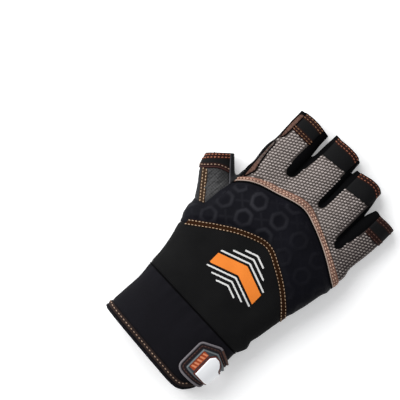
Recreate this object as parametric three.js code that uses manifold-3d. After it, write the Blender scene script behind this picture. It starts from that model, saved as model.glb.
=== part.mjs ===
// Half-finger impact glove for the right hand, lying palm down.
// Millimetres, +X to the little finger, +Y to the fingertips, +Z up from the surface it lies on.
import * as THREE from 'three';
import { mergeVertices } from 'three/addons/utils/BufferGeometryUtils.js';
import Module from 'manifold-3d';

const wasm = await Module();
wasm.setup();

// Wall and layer sizes
const WALL = 2;
const SEAM_GAP = 0.36;
const LAYER_GAP = 0.3;
const KNUCKLE_PAD_RISE = 1.6;
const TRIM_RISE = 0.8;
const BINDING_RISE = 0.7;
const PALM_PAD_THICKNESS = 4.1;
const PAD_EDGE_SLOPE = 3;
const STRAP_THICKNESS = 1.9;
const TAB_THICKNESS = 1.3;
const PATCH_THICKNESS = 0.6;
const TAB_MARGIN = 3.4;
const HEM_WIDTH = 5;

// How finely round shapes are cut
const PALM_SIDES = 24;
const FINGER_SIDES = 14;
const CURVE_STEPS = 12;
const CORNER_STEPS = 4;

// Section shape: how square the upper and the lower half of a tube are
const UPPER_SQUARENESS = 2.5;
const LOWER_SQUARENESS = 4;

// How close points lie that count as one, and the shortest move
const SAME_POINT = 1e-4;
const SAME_CORNER = 1e-3;
const SHORTEST_MOVE = 1e-6;

// Reaches past the glove, for cutters and open mouths
const MOUTH_REACH = 8;
const FAR_LEFT = -86;
const FAR_RIGHT = 78;
const FAR_TOP = 125;
const CUT_LOW = -20;
const CUT_HIGH = 60;
const CUT_SIDE = 90;
const STRAP_SPLIT_Z = 20;

// Tubes. Each row is one section: its left and right edge in plan, and its lowest and highest level.
const PALM_ROWS = [
  { left: [-39.0, -98], right: [44.6, -98], bottom: 5.2, top: 34.5 },
  { left: [-38.8, -86], right: [45.2, -86], bottom: 5.2, top: 34.5 },
  { left: [-37.7, -70], right: [47.0, -70], bottom: 5.2, top: 33.5 },
  { left: [-37.0, -58], right: [48.4, -58], bottom: 5.1, top: 32.5 },
  { left: [-37.5, -49], right: [48.7, -49], bottom: 4.8, top: 32.0 },
  { left: [-38.7, -40], right: [52.0, -41], bottom: 4.2, top: 33.0 },
  { left: [-40.2, -27], right: [52.2, -28], bottom: 3.7, top: 34.0 },
  { left: [-44.0, -10], right: [55.0, -10], bottom: 3.7, top: 34.5 },
  { left: [-46.6, 5], right: [57.4, 6], bottom: 3.7, top: 34.0 },
  { left: [-44.0, 20], right: [60.0, 20], bottom: 3.7, top: 33.0 },
  { left: [-38.5, 34], right: [63.2, 33], bottom: 3.7, top: 31.5 },
  { left: [-36.0, 49], right: [64.2, 44], bottom: 3.7, top: 28.5 },
  { left: [-31.0, 60], right: [57.0, 52], bottom: 5.5, top: 24.5 },
  { left: [-25.0, 66], right: [52.0, 57], bottom: 9.0, top: 19.0 },
];
const INDEX_ROWS = [
  { left: [-35.0, 40], right: [-4.0, 40], bottom: 4.2, top: 25.5 },
  { left: [-35.6, 52], right: [-7.0, 52], bottom: 3.7, top: 26.0 },
  { left: [-37.0, 63], right: [-9.6, 63], bottom: 3.7, top: 24.8 },
  { left: [-38.0, 74], right: [-11.2, 74], bottom: 3.7, top: 23.2 },
  { left: [-37.2, 87], right: [-11.6, 87], bottom: 3.7, top: 21.8 },
  { left: [-38.2, 105], right: [-12.6, 105], bottom: 3.0, top: 21.0 },
];
const MIDDLE_ROWS = [
  { left: [-18.0, 40], right: [26.0, 40], bottom: 4.2, top: 28.5 },
  { left: [-15.0, 52], right: [23.0, 52], bottom: 3.7, top: 28.0 },
  { left: [-12.2, 64], right: [19.6, 64], bottom: 3.7, top: 26.0 },
  { left: [-10.0, 74], right: [17.6, 74], bottom: 3.7, top: 24.2 },
  { left: [-8.9, 92], right: [17.2, 92], bottom: 3.5, top: 22.2 },
  { left: [-9.0, 109.5], right: [16.0, 109.5], bottom: 3.0, top: 21.2 },
];
const RING_ROWS = [
  { left: [9.0, 38], right: [52.0, 36], bottom: 4.2, top: 27.0 },
  { left: [13.0, 50], right: [48.5, 48], bottom: 3.7, top: 27.0 },
  { left: [16.2, 64], right: [45.6, 60], bottom: 3.7, top: 25.4 },
  { left: [18.2, 74], right: [44.0, 70], bottom: 3.7, top: 23.8 },
  { left: [18.3, 88], right: [43.4, 88], bottom: 3.5, top: 22.0 },
  { left: [18.6, 103.5], right: [41.2, 103.5], bottom: 3.0, top: 21.0 },
];
const PINKY_ROWS = [
  { left: [36.0, 26], right: [62.4, 28], bottom: 4.2, top: 24.5 },
  { left: [39.5, 40], right: [63.9, 42], bottom: 3.7, top: 23.8 },
  { left: [42.4, 51], right: [65.0, 53], bottom: 3.7, top: 22.8 },
  { left: [44.8, 61], right: [66.0, 63], bottom: 3.7, top: 21.6 },
  { left: [45.2, 76], right: [66.8, 76], bottom: 3.6, top: 20.4 },
  { left: [47.8, 91], right: [66.2, 90.4], bottom: 3.0, top: 19.6 },
];
const THUMB_ROWS = [
  { left: [-38.0, -12], right: [-14.0, 22], bottom: 5.0, top: 26.0 },
  { left: [-45.5, 4], right: [-26.0, 32], bottom: 4.0, top: 25.5 },
  { left: [-50.0, 11], right: [-36.0, 36.2], bottom: 3.7, top: 24.5 },
  { left: [-55.4, 18.5], right: [-41.0, 39.8], bottom: 3.7, top: 23.2 },
  { left: [-61.5, 27], right: [-45.0, 43.8], bottom: 3.5, top: 22.0 },
  { left: [-64.2, 35.6], right: [-51.0, 49.2], bottom: 3.2, top: 21.2 },
];

// Seams in plan, from the thumb side to the little finger side
const HEM_EDGE = [[-52, -86], [-36, -89.6], [0, -92.9], [28, -95.1], [39, -93.8], [45, -91.2], [56, -86]];
const CUFF_SEAM = [[-60, -44.4], [0, -46.5], [70, -49.2]];
const BACK_ARC = [
  [-62, -22], [-40, -7.1], [-20, 7.2], [0, 18], [11, 20.7], [22, 17], [40, 6.3], [54, -6.4], [72, -27],
];
const PAD_ARC = [[-36.6, 36.5], [-29, 44], [-10, 51.2], [11, 56.5], [21, 54.4], [40, 46.4], [60, 34.6], [78, 24]];
const TRIM_ARC = [[-40, 36.5], [-30, 47], [-10, 55.8], [11, 61.9], [21, 59.3], [40, 51], [60, 40.8], [78, 30.6]];
const SIDE_SEAM = [[-60, 12.5], [0, 12], [50, 10.5], [120, 9.5]];

// Panels that end at the thumb, and the corners of the thumb's cutters past the glove
const THUMB_SEAM = [[-36.9, 37], [-39.6, 25], [-41, 10.5], [-60, 4]];
const THUMB_CORNERS = [[FAR_LEFT, -4], [FAR_LEFT, 64], [-42, 62], [-37.2, 46]];
const THUMB_BAND_SEAM = [[-72, 19.5], [-57, 29.3], [-50, 35], [-38, 40.5]];
const THUMB_BAND_CORNERS = [[-30, 44], [-52, 66], [FAR_LEFT, 40]];
const GUSSET_SEAM = [[-61, 43], [-57.4, 37.6], [-50.5, 24.6], [-44.4, 14.4], [-40, 3], [-36.6, -12], [-31.5, -52]];

// Side walls between the fingers: how far each reaches, and its left and right edge at a few levels
const BOWL_SAG = 1;
const FOURCHETTES = [
  { name: 'fourchette_index_middle', foot: 65.5, rows: [[71, -17.6, -8.6], [80, -18, -6.9], [118, -18, -6.5]] },
  { name: 'fourchette_middle_ring', foot: 65.5, rows: [[70, 15, 20.8], [80, 14.5, 21.3], [118, 14.6, 21.5]] },
  { name: 'fourchette_ring_pinky', foot: 53.2, rows: [[58, 41.6, 48.8], [70, 42.2, 51.2], [108, 41.8, 52.5]] },
];

// End bands: the seam to the mesh and the sides
const BANDS = [
  { name: 'index_band', left: -34.2, right: -18, seam: [90.5, 90.5] },
  { name: 'middle_band', left: -6.5, right: 14.6, seam: [93, 95.6] },
  { name: 'ring_band', left: 21.5, right: 42, seam: [88.2, 90.4] },
  { name: 'pinky_band', left: 52.4, right: 72, seam: [75.6, 75.2] },
];
const BAND_TOP = 119;
const SIDE_BINDING = [[-46, 40], [-35.4, 44], [-34.2, 56], [-34.2, 119], [-46, 119]];

// Palm pads: corners in plan with their rounding
const HEEL_PAD = [
  { x: -19, y: 28, round: 8 }, { x: 46.5, y: 5.4, round: 12 }, { x: 48.6, y: -18, round: 16 },
  { x: 36, y: -39, round: 12 }, { x: -22, y: -26, round: 12 }, { x: -27, y: -6, round: 20 },
];
const UPPER_PAD = [
  { x: -34.2, y: 90, round: 6 }, { x: -21.5, y: 88, round: 6 }, { x: -13, y: 63.6, round: 8 },
  { x: 53, y: 52.5, round: 8 }, { x: 57, y: 20, round: 10 }, { x: 34, y: 21.4, round: 20 },
  { x: -31.5, y: 39, round: 9 }, { x: -34.4, y: 58, round: 20 },
];
const THUMB_PAD = { x: -40.4, y: 26, length: 25, width: 15, turn: 135, round: 6 };

// Closure strap: its outline on the palm side and on the back
const STRAP_UNDER = [
  { x: -20, y: -60, round: 3 }, { x: 34, y: -60, round: 8 }, { x: 60, y: -55, round: 1 },
  { x: 60, y: -80.5, round: 1 }, { x: 26, y: -81.5, round: 3 }, { x: 18, y: -86, round: 4 },
  { x: -20, y: -76.5, round: 4 },
];
const STRAP_OVER = [
  { x: 25, y: -59.5, round: 3 }, { x: 39.5, y: -52.5, round: 4 }, { x: 60, y: -60, round: 1 },
  { x: 60, y: -80.5, round: 1 }, { x: 41, y: -84.6, round: 4 }, { x: 31, y: -84.6, round: 4 },
  { x: 25, y: -79.5, round: 3 },
];
const PATCH_UNDER = { left: 38, top: -62.5, foot: -77 };
const PATCH_OVER = { left: 38.5, top: -61.5, foot: -77 };

// Finishes: colour, roughness
const FINISHES = {
  neoprene: { color: 0x18171d, roughness: 0.85 },
  knit: { color: 0x1a1a1a, roughness: 0.9 },
  mesh: { color: 0x756f6d, roughness: 0.9 },
  trim: { color: 0x8d6d63, roughness: 0.8 },
  tape: { color: 0x3d322f, roughness: 0.85 },
  leather: { color: 0x1f1e22, roughness: 0.6 },
  greyLeather: { color: 0x474747, roughness: 0.6 },
  pad: { color: 0x222127, roughness: 0.6 },
  rubber: { color: 0x484f54, roughness: 0.5 },
  webbing: { color: 0x30282b, roughness: 0.8 },
  white: { color: 0xf2f2f2, roughness: 0.5 },
};

// Solids

/** Turns a closed geometry into a solid. */
function solidOf(geometry) {
  geometry.deleteAttribute('normal');
  geometry.deleteAttribute('uv');
  const merged = mergeVertices(geometry, SAME_POINT);
  const vertProperties = new Float32Array(merged.attributes.position.array);
  const triVerts = new Uint32Array(merged.index.array);
  return new wasm.Manifold(new wasm.Mesh({ numProp: 3, vertProperties, triVerts }));
}

/** Turns a solid back into a geometry. */
function geometryOf(solid) {
  const mesh = solid.getMesh();
  const geometry = new THREE.BufferGeometry();
  geometry.setAttribute('position', new THREE.Float32BufferAttribute(mesh.vertProperties, 3));
  geometry.setIndex(new THREE.Uint32BufferAttribute(mesh.triVerts, 1));
  geometry.computeVertexNormals();
  return geometry;
}

/** Keeps the largest of the separate bodies that a cut leaves. */
function mainBody(solid) {
  const bodies = solid.decompose();
  bodies.sort((a, b) => b.volume() - a.volume());
  return bodies[0];
}

/** A point on a section's outline: a squared circle, flatter below than above. */
function sectionPoint(angle, halfWidth, halfHeight) {
  const across = Math.cos(angle);
  const up = Math.sin(angle);
  const power = 2 / (up < 0 ? LOWER_SQUARENESS : UPPER_SQUARENESS);
  return {
    across: halfWidth * Math.sign(across) * Math.abs(across) ** power,
    up: halfHeight * Math.sign(up) * Math.abs(up) ** power,
  };
}

/** Moves an end row outwards along the tube by a distance. */
function pushedRow(row, inner, distance) {
  const middle = (r) => new THREE.Vector2((r.left[0] + r.right[0]) / 2, (r.left[1] + r.right[1]) / 2);
  const step = middle(row).sub(middle(inner)).setLength(Math.abs(distance) || SHORTEST_MOVE);
  if (distance < 0) {
    step.negate();
  }
  const moved = (p) => [p[0] + step.x, p[1] + step.y];
  return { ...row, left: moved(row.left), right: moved(row.right) };
}

/** A tube through the rows, grown by an offset, with its two ends moved outwards. */
function tube(rows, sides, offset, startReach, endReach) {
  const last = rows.length - 1;
  const ring = [...rows];
  ring[0] = pushedRow(rows[0], rows[1], startReach);
  ring[last] = pushedRow(rows[last], rows[last - 1], endReach);
  const points = [];
  const faces = [];
  for (const row of ring) {
    const left = new THREE.Vector2(...row.left);
    const right = new THREE.Vector2(...row.right);
    const centre = left.clone().add(right).multiplyScalar(0.5);
    const across = right.clone().sub(left).normalize();
    const halfWidth = left.distanceTo(right) / 2 + offset;
    const halfHeight = (row.top - row.bottom) / 2 + offset;
    const level = (row.top + row.bottom) / 2;
    for (let k = 0; k < sides; k += 1) {
      const p = sectionPoint((2 * Math.PI * k) / sides, halfWidth, halfHeight);
      points.push(centre.x + across.x * p.across, centre.y + across.y * p.across, level + p.up);
    }
  }
  for (let r = 0; r < last; r += 1) {
    for (let k = 0; k < sides; k += 1) {
      const a = r * sides + k;
      const b = r * sides + ((k + 1) % sides);
      faces.push(a, b, b + sides, a, b + sides, a + sides);
    }
  }
  for (let k = 1; k < sides - 1; k += 1) {
    faces.push(0, k + 1, k);
    faces.push(last * sides, last * sides + k, last * sides + k + 1);
  }
  const geometry = new THREE.BufferGeometry();
  geometry.setAttribute('position', new THREE.Float32BufferAttribute(points, 3));
  geometry.setIndex(faces);
  const solid = solidOf(geometry);
  return solid.volume() > 0 ? solid : turned(geometry);
}

/** The same closed surface with its faces turned over. */
function turned(geometry) {
  const index = Array.from(geometry.index.array);
  for (let i = 0; i < index.length; i += 3) {
    [index[i + 1], index[i + 2]] = [index[i + 2], index[i + 1]];
  }
  geometry.setIndex(index);
  return solidOf(geometry);
}

/** The whole hand form grown by an offset; a negative one is the hollow, open at every mouth. */
function handForm(offset) {
  const mouth = offset < 0 ? MOUTH_REACH : 0;
  const closed = Math.min(offset, 0);
  let form = tube(PALM_ROWS, PALM_SIDES, offset, mouth, closed);
  for (const rows of [INDEX_ROWS, MIDDLE_ROWS, RING_ROWS, PINKY_ROWS, THUMB_ROWS]) {
    form = form.add(tube(rows, FINGER_SIDES, offset, closed, mouth));
  }
  return form;
}

// Outlines in plan

/** Points along a smooth curve through a few points. */
function smooth(points) {
  return new THREE.SplineCurve(points.map((p) => new THREE.Vector2(...p))).getPoints(CURVE_STEPS);
}

/** Vectors from pairs. */
function plain(points) {
  return points.map((p) => new THREE.Vector2(...p));
}

/** A polygon with rounded corners. */
function roundedOutline(corners) {
  const outline = [];
  corners.forEach((corner, i) => {
    const here = new THREE.Vector2(corner.x, corner.y);
    const before = corners[(i + corners.length - 1) % corners.length];
    const after = corners[(i + 1) % corners.length];
    const toBefore = new THREE.Vector2(before.x, before.y).sub(here);
    const toAfter = new THREE.Vector2(after.x, after.y).sub(here);
    const start = here.clone().add(toBefore.clone().setLength(Math.min(corner.round, toBefore.length() / 2)));
    const end = here.clone().add(toAfter.clone().setLength(Math.min(corner.round, toAfter.length() / 2)));
    outline.push(...new THREE.QuadraticBezierCurve(start, here, end).getPoints(CORNER_STEPS));
  });
  return withoutDoubles(outline);
}

/** The outline without points that lie on the one before. */
function withoutDoubles(outline) {
  return outline.filter((p, i) => p.distanceTo(outline[(i + 1) % outline.length]) > SAME_CORNER);
}

/** Signed area of an outline. */
function area(outline) {
  return THREE.ShapeUtils.area(outline);
}

/** An outline grown outwards by a distance, or shrunk by a negative one. */
function grown(outline, distance) {
  const clean = withoutDoubles(outline);
  const side = Math.sign(area(clean));
  return clean.map((p, i) => {
    const before = clean[(i + clean.length - 1) % clean.length];
    const after = clean[(i + 1) % clean.length];
    const one = p.clone().sub(before).normalize();
    const two = after.clone().sub(p).normalize();
    const normal = new THREE.Vector2(one.y + two.y, -one.x - two.x).multiplyScalar(side);
    const stretch = 1 + one.dot(two);
    return p.clone().add(normal.multiplyScalar(distance / stretch));
  });
}

/** Corners moved inwards by a distance, with the same rounding. */
function insetCorners(corners, distance) {
  const moved = grown(corners.map(({ x, y }) => new THREE.Vector2(x, y)), -distance);
  return moved.map(({ x, y }, i) => ({ x, y, round: corners[i].round }));
}

/** An upright prism over an outline. */
function prism(outline, low = CUT_LOW, high = CUT_HIGH) {
  const points = area(outline) < 0 ? [...outline].reverse() : outline;
  const shape = new THREE.Shape(points);
  const geometry = new THREE.ExtrudeGeometry(shape, { depth: high - low, bevelEnabled: false });
  geometry.translate(0, 0, low);
  return solidOf(geometry);
}

/** A prism whose outline shrinks towards its foot, for a pad with sloping edges. */
function taperedPrism(outline, foot, head, slope) {
  const wide = area(outline) < 0 ? [...outline].reverse() : outline;
  const narrow = grown(wide, -slope);
  const count = wide.length;
  const points = [];
  const faces = [];
  narrow.forEach((p) => points.push(p.x, p.y, foot));
  wide.forEach((p) => points.push(p.x, p.y, head));
  for (let i = 0; i < count; i += 1) {
    const j = (i + 1) % count;
    faces.push(i, j, j + count, i, j + count, i + count);
  }
  for (const [a, b, c] of THREE.ShapeUtils.triangulateShape(wide, [])) {
    const [p, q] = area([wide[a], wide[b], wide[c]]) > 0 ? [b, c] : [c, b];
    faces.push(a, q, p, a + count, p + count, q + count);
  }
  const geometry = new THREE.BufferGeometry();
  geometry.setAttribute('position', new THREE.Float32BufferAttribute(points, 3));
  geometry.setIndex(faces);
  return solidOf(geometry);
}

/** The part of the plan between two seams that run from left to right. */
function between(lower, upper) {
  return [...lower, ...[...upper].reverse()];
}

/** A level cutter that follows the side seam, above it or below it. */
function sideOfSeam(above) {
  const shift = above ? SEAM_GAP / 2 : -SEAM_GAP / 2;
  const far = above ? CUT_HIGH : CUT_LOW;
  const seam = SIDE_SEAM.map(([y, z]) => new THREE.Vector2(y, z + shift));
  const first = seam[0];
  const last = seam[seam.length - 1];
  const shape = new THREE.Shape([
    new THREE.Vector2(-CUT_SIDE * 2, first.y), ...seam,
    new THREE.Vector2(CUT_SIDE * 2, last.y), new THREE.Vector2(CUT_SIDE * 2, far),
    new THREE.Vector2(-CUT_SIDE * 2, far),
  ]);
  const geometry = new THREE.ExtrudeGeometry(shape, { depth: 2 * CUT_SIDE, bevelEnabled: false });
  geometry.rotateX(Math.PI / 2);
  geometry.rotateZ(Math.PI / 2);
  geometry.translate(-CUT_SIDE, 0, 0);
  return solidOf(geometry);
}

// Shared forms and cutters
const hollow = handForm(-WALL);
const skin = handForm(0).subtract(hollow);
const raisedSkin = handForm(TRIM_RISE).subtract(hollow);
const paddedSkin = handForm(KNUCKLE_PAD_RISE).subtract(hollow);
const over = sideOfSeam(true);
const under = sideOfSeam(false);
const inset = (outline) => prism(grown(outline, -SEAM_GAP / 2));
const outset = (outline) => prism(grown(outline, SEAM_GAP / 2));

const hemEdge = smooth(HEM_EDGE);
const hemSeam = smooth(HEM_EDGE.map(([x, y]) => [x, y + HEM_WIDTH]));
const cuffSeam = plain(CUFF_SEAM);
const backArc = smooth(BACK_ARC);
const padArc = smooth(PAD_ARC);
const trimArc = smooth(TRIM_ARC);
const thumbSeam = plain(THUMB_SEAM);
const thumbBandSeam = plain(THUMB_BAND_SEAM);
const fingerEnd = plain([[-48, FAR_TOP], [FAR_RIGHT, FAR_TOP]]);

const thumbOutline = [...thumbSeam, ...plain(THUMB_CORNERS)];
const thumbBandOutline = [...thumbBandSeam, ...plain(THUMB_BAND_CORNERS)];
const gussetEnds = [GUSSET_SEAM.at(-1), GUSSET_SEAM[0]].map(([, y]) => [FAR_LEFT, y]);
const gussetOutline = [...smooth(GUSSET_SEAM), ...plain(gussetEnds)];
const cuffOutline = between(hemSeam, cuffSeam);
const aboveCuff = between(cuffSeam, plain([[FAR_LEFT, FAR_TOP], [FAR_RIGHT, FAR_TOP]]));
const fingerOutline = between(trimArc, fingerEnd);

/** The outline of a side wall between two fingers, with a round foot. */
function fourchetteOutline({ foot, rows }) {
  const left = rows.map(([y, x]) => new THREE.Vector2(x, y));
  const right = rows.map(([y, , x]) => new THREE.Vector2(x, y));
  const middle = (rows[0][1] + rows[0][2]) / 2;
  const bowl = new THREE.CubicBezierCurve(
    left[0],
    new THREE.Vector2(rows[0][1], foot - BOWL_SAG),
    new THREE.Vector2(rows[0][2], foot - BOWL_SAG),
    right[0],
  ).getPoints(2 * CORNER_STEPS);
  bowl[CORNER_STEPS].set(middle, foot);
  return [...[...left].reverse(), ...bowl.slice(1, -1), ...right];
}

/** The outline of an end band. */
function bandOutline({ left, right, seam }) {
  return plain([[left, seam[0]], [right, seam[1]], [right, BAND_TOP], [left, BAND_TOP]]);
}

/** A C-shaped layer round the little finger side of the wrist. */
function wristLayer(inner, outer, underOutline, overOutline) {
  const closed = MOUTH_REACH;
  const shell = tube(PALM_ROWS, PALM_SIDES, outer, 0, 0).subtract(
    tube(PALM_ROWS, PALM_SIDES, inner, closed, closed),
  );
  const low = shell.intersect(prism(underOutline, CUT_LOW, STRAP_SPLIT_Z));
  const high = shell.intersect(prism(overOutline, STRAP_SPLIT_Z, CUT_HIGH));
  return mainBody(low.add(high));
}

/** A pad under the palm, flat where it rests. */
function palmPad(outline) {
  const layer = handForm(PALM_PAD_THICKNESS).subtract(handForm(LAYER_GAP));
  const block = taperedPrism(outline, 0, SIDE_SEAM[1][1], PAD_EDGE_SLOPE);
  return mainBody(layer.intersect(block).intersect(under));
}

/** The outline of a rectangular patch that runs past the little finger side. */
function patchOutline({ left, top, foot }) {
  return plain([[left, foot], [CUT_SIDE, foot], [CUT_SIDE, top], [left, top]]);
}

/** The rounded rectangle of the thumb pad. */
function turnedRectangle({ x, y, length, width, turn, round }) {
  const corners = [[1, 1], [-1, 1], [-1, -1], [1, -1]].map(([i, j]) => {
    const p = new THREE.Vector2((i * length) / 2, (j * width) / 2);
    p.rotateAround(new THREE.Vector2(), THREE.MathUtils.degToRad(turn));
    return { x: x + p.x, y: y + p.y, round };
  });
  return roundedOutline(corners);
}

// The glove
const group = new THREE.Group();

/** Adds one named piece. */
function addPiece(name, finish, solid) {
  const material = new THREE.MeshStandardMaterial({ ...FINISHES[finish], metalness: 0 });
  const mesh = new THREE.Mesh(geometryOf(mainBody(solid)), material);
  mesh.name = name;
  group.add(mesh);
}

// Wrist
const bindingForm = handForm(BINDING_RISE).subtract(hollow);
addPiece('cuff', 'neoprene', skin.intersect(inset(cuffOutline)));
addPiece('hem_binding', 'tape', bindingForm.intersect(inset(between(hemEdge, hemSeam))));

// Back of the hand
const padOutline = [...backArc, ...[...padArc].reverse(), ...thumbSeam];
addPiece('back_panel', 'knit', skin.intersect(over).intersect(inset(between(cuffSeam, backArc))));
addPiece('knuckle_pad', 'neoprene', paddedSkin.intersect(over).intersect(inset(padOutline)));
const trimOutline = between(padArc, trimArc);
addPiece(
  'knuckle_trim', 'trim',
  raisedSkin.intersect(over).intersect(inset(trimOutline)).subtract(outset(thumbOutline)),
);

// Fingers
const fingers = skin.intersect(over).intersect(inset(fingerOutline)).subtract(outset(thumbOutline));
const raisedFingers = raisedSkin.intersect(over).intersect(inset(fingerOutline));
const sideBinding = plain(SIDE_BINDING);
let mesh = fingers.subtract(outset(sideBinding));
for (const wall of FOURCHETTES) {
  const outline = fourchetteOutline(wall);
  mesh = mesh.subtract(outset(outline));
  addPiece(wall.name, 'knit', fingers.intersect(inset(outline)));
}
for (const band of BANDS) {
  const outline = bandOutline(band);
  mesh = mesh.subtract(outset(outline));
  addPiece(band.name, 'knit', raisedFingers.intersect(inset(outline)));
}
addPiece('finger_mesh', 'mesh', mesh);
addPiece(
  'index_side_binding', 'trim',
  raisedFingers.intersect(inset(sideBinding)).subtract(outset(thumbOutline)),
);

// Thumb
const thumb = skin.intersect(over).intersect(inset(thumbOutline));
addPiece('thumb_back', 'greyLeather', thumb.subtract(outset(thumbBandOutline)));
addPiece(
  'thumb_band', 'knit',
  raisedSkin.intersect(over).intersect(inset(thumbOutline)).intersect(inset(thumbBandOutline)),
);

// Palm
const palm = skin.intersect(under).intersect(inset(aboveCuff));
addPiece('thumb_gusset', 'knit', palm.intersect(inset(gussetOutline)));
addPiece('palm_leather', 'leather', palm.subtract(outset(gussetOutline)));
addPiece('heel_pad', 'pad', palmPad(roundedOutline(HEEL_PAD)));
addPiece('upper_palm_pad', 'pad', palmPad(roundedOutline(UPPER_PAD)));
addPiece('thumb_pad', 'pad', palmPad(turnedRectangle(THUMB_PAD)));

// Closure
const strapUnder = roundedOutline(STRAP_UNDER);
const strapOver = roundedOutline(STRAP_OVER);
const tabUnder = roundedOutline(insetCorners(STRAP_UNDER, TAB_MARGIN));
const tabOver = roundedOutline(insetCorners(STRAP_OVER, TAB_MARGIN));
const strapTop = LAYER_GAP + STRAP_THICKNESS;
const tabTop = strapTop + LAYER_GAP + TAB_THICKNESS;
const patchTop = tabTop + LAYER_GAP + PATCH_THICKNESS;
addPiece('strap', 'webbing', wristLayer(LAYER_GAP, strapTop, strapUnder, strapOver));
addPiece(
  'strap_tab', 'rubber',
  wristLayer(strapTop + LAYER_GAP, tabTop, tabUnder, tabOver),
);
addPiece(
  'reflective_patch', 'white',
  wristLayer(tabTop + LAYER_GAP, patchTop, patchOutline(PATCH_UNDER), patchOutline(PATCH_OVER)),
);

// The origin is the middle of the box round the glove, on the surface it lies on
const box = new THREE.Box3().setFromObject(group);
const middle = box.getCenter(new THREE.Vector3());
group.position.set(-middle.x, -middle.y, -box.min.z);

export default group;
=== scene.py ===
"""Half-finger impact glove for the right hand, lying palm down on a white table.

The skin of the glove is one smooth form, blended from a tube for the palm, one for each finger
and one for the thumb. Every panel is cut out of that skin along its seams, and gets its own
relief, thickness and fabric. Geometry Nodes lay the stitches, the cords and the mesh's loops.

Lengths are millimetres in the glove's own pattern plan, with +X to the little finger side and
+Y to the fingertips, and become metres in the frame's axes when a piece is made.
"""

from __future__ import annotations

import logging
import math
from dataclasses import dataclass, field
from enum import Enum
from typing import Callable, Iterable, Sequence

import bpy
import numpy as np
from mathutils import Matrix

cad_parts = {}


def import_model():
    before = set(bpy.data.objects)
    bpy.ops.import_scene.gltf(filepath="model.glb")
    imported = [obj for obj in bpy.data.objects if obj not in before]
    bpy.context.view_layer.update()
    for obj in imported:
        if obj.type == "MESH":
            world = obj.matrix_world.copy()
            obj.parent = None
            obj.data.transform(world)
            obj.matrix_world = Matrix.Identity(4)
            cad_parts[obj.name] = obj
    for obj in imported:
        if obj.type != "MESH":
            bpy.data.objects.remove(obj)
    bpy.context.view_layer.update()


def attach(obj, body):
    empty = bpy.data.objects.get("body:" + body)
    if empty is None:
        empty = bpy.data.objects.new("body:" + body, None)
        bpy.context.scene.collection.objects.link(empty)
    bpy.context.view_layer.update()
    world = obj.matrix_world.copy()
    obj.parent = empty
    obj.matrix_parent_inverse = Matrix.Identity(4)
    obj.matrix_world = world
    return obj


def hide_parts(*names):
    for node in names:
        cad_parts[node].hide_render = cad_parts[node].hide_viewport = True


log = logging.getLogger("glove")

Array = np.ndarray
Rows = Sequence[Sequence[float]]
Values = Callable[[Array], Array]

MM = 0.001
TURN = 2 * math.pi
ROOT = "root"
PLAN_ORIGIN = np.array([1.421, 7.290, 0.0])  # the frame's origin in the pattern plan
SEED = 11
FLOOR_CLEARANCE = 0.05
GRID_PITCH = 0.9


# Curves, outlines and soft steps

ROUNDING_STEPS = 6
# How many waves make a ripple, and how far their lengths spread about the typical one
RIPPLE_WAVES = 9
RIPPLE_SPREAD = (0.7, 1.6)


def spline(points: Rows, steps: int = 8) -> Array:
    """Smooth a row of points with a Catmull-Rom curve.

    Args:
        points: Rows of numbers, the first and last of which the curve ends on.
        steps: How many pieces each stretch between two rows is cut into.

    Returns:
        The finer rows.
    """
    p = np.asarray(points, float)
    p = np.vstack([2 * p[0] - p[1], p, 2 * p[-1] - p[-2]])
    t = np.linspace(0, 1, steps, endpoint=False)[:, None]
    out = []
    for a, b, c, d in zip(p[:-3], p[1:-2], p[2:-1], p[3:]):
        out.append(0.5 * (2 * b + (c - a) * t + (2 * a - 5 * b + 4 * c - d) * t**2
                          + (3 * b - a - 3 * c + d) * t**3))
    return np.vstack([*out, p[-2:-1]])


def rounded(corners: Rows) -> Array:
    """Round the corners of a polygon.

    Args:
        corners: Rows of x, y and how far the rounding reaches along the sides.

    Returns:
        The outline's points.
    """
    c = np.asarray(corners, float)
    t = np.linspace(0, 1, ROUNDING_STEPS)[:, None]
    out = []
    for here, *others in zip(c, np.roll(c, 1, 0), np.roll(c, -1, 0)):
        ends = []
        for other in others:
            way = other[:2] - here[:2]
            far = np.linalg.norm(way)
            ends.append(here[:2] + way / far * min(here[2], far / 2))
        out.append((1 - t) ** 2 * ends[0] + 2 * t * (1 - t) * here[:2] + t**2 * ends[1])
    return np.vstack(out)


def distance_to_path(xy: Array, path: Array) -> Array:
    """The distance of each plan point from an open path.

    Args:
        xy: Plan points.
        path: The path's points.

    Returns:
        One distance for each plan point.
    """
    best = np.full(len(xy), np.inf)
    for a, b in zip(path[:-1], path[1:]):
        way = b - a
        share = np.clip((xy - a) @ way / max(way @ way, 1e-9), 0, 1)
        best = np.minimum(best, np.hypot(*(xy - a - share[:, None] * way).T))
    return best


def inside_by(xy: Array, outline: Array) -> Array:
    """How far each plan point is inside a closed outline, negative outside.

    Args:
        xy: Plan points.
        outline: The outline's points, in either direction.

    Returns:
        One signed distance for each plan point.
    """
    ring = np.vstack([outline, outline[:1]])
    odd = np.zeros(len(xy), bool)
    for (ax, ay), (bx, by) in zip(ring[:-1], ring[1:]):
        if ay != by:
            crosses = (ay > xy[:, 1]) != (by > xy[:, 1])
            odd ^= crosses & (xy[:, 0] < (bx - ax) * (xy[:, 1] - ay) / (by - ay) + ax)
    return np.where(odd, 1, -1) * distance_to_path(xy, ring)


def above_by(xy: Array, curve: Array) -> Array:
    """How far each plan point is above a curve that runs from left to right."""
    level = np.interp(xy[:, 0], curve[:, 0], curve[:, 1])
    return np.sign(xy[:, 1] - level) * distance_to_path(xy, curve)


def ease(value: Array, low: float, high: float) -> Array:
    """A smooth step from 0 at low to 1 at high."""
    t = np.clip((value - low) / (high - low), 0, 1)
    return t * t * (3 - 2 * t)


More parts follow.
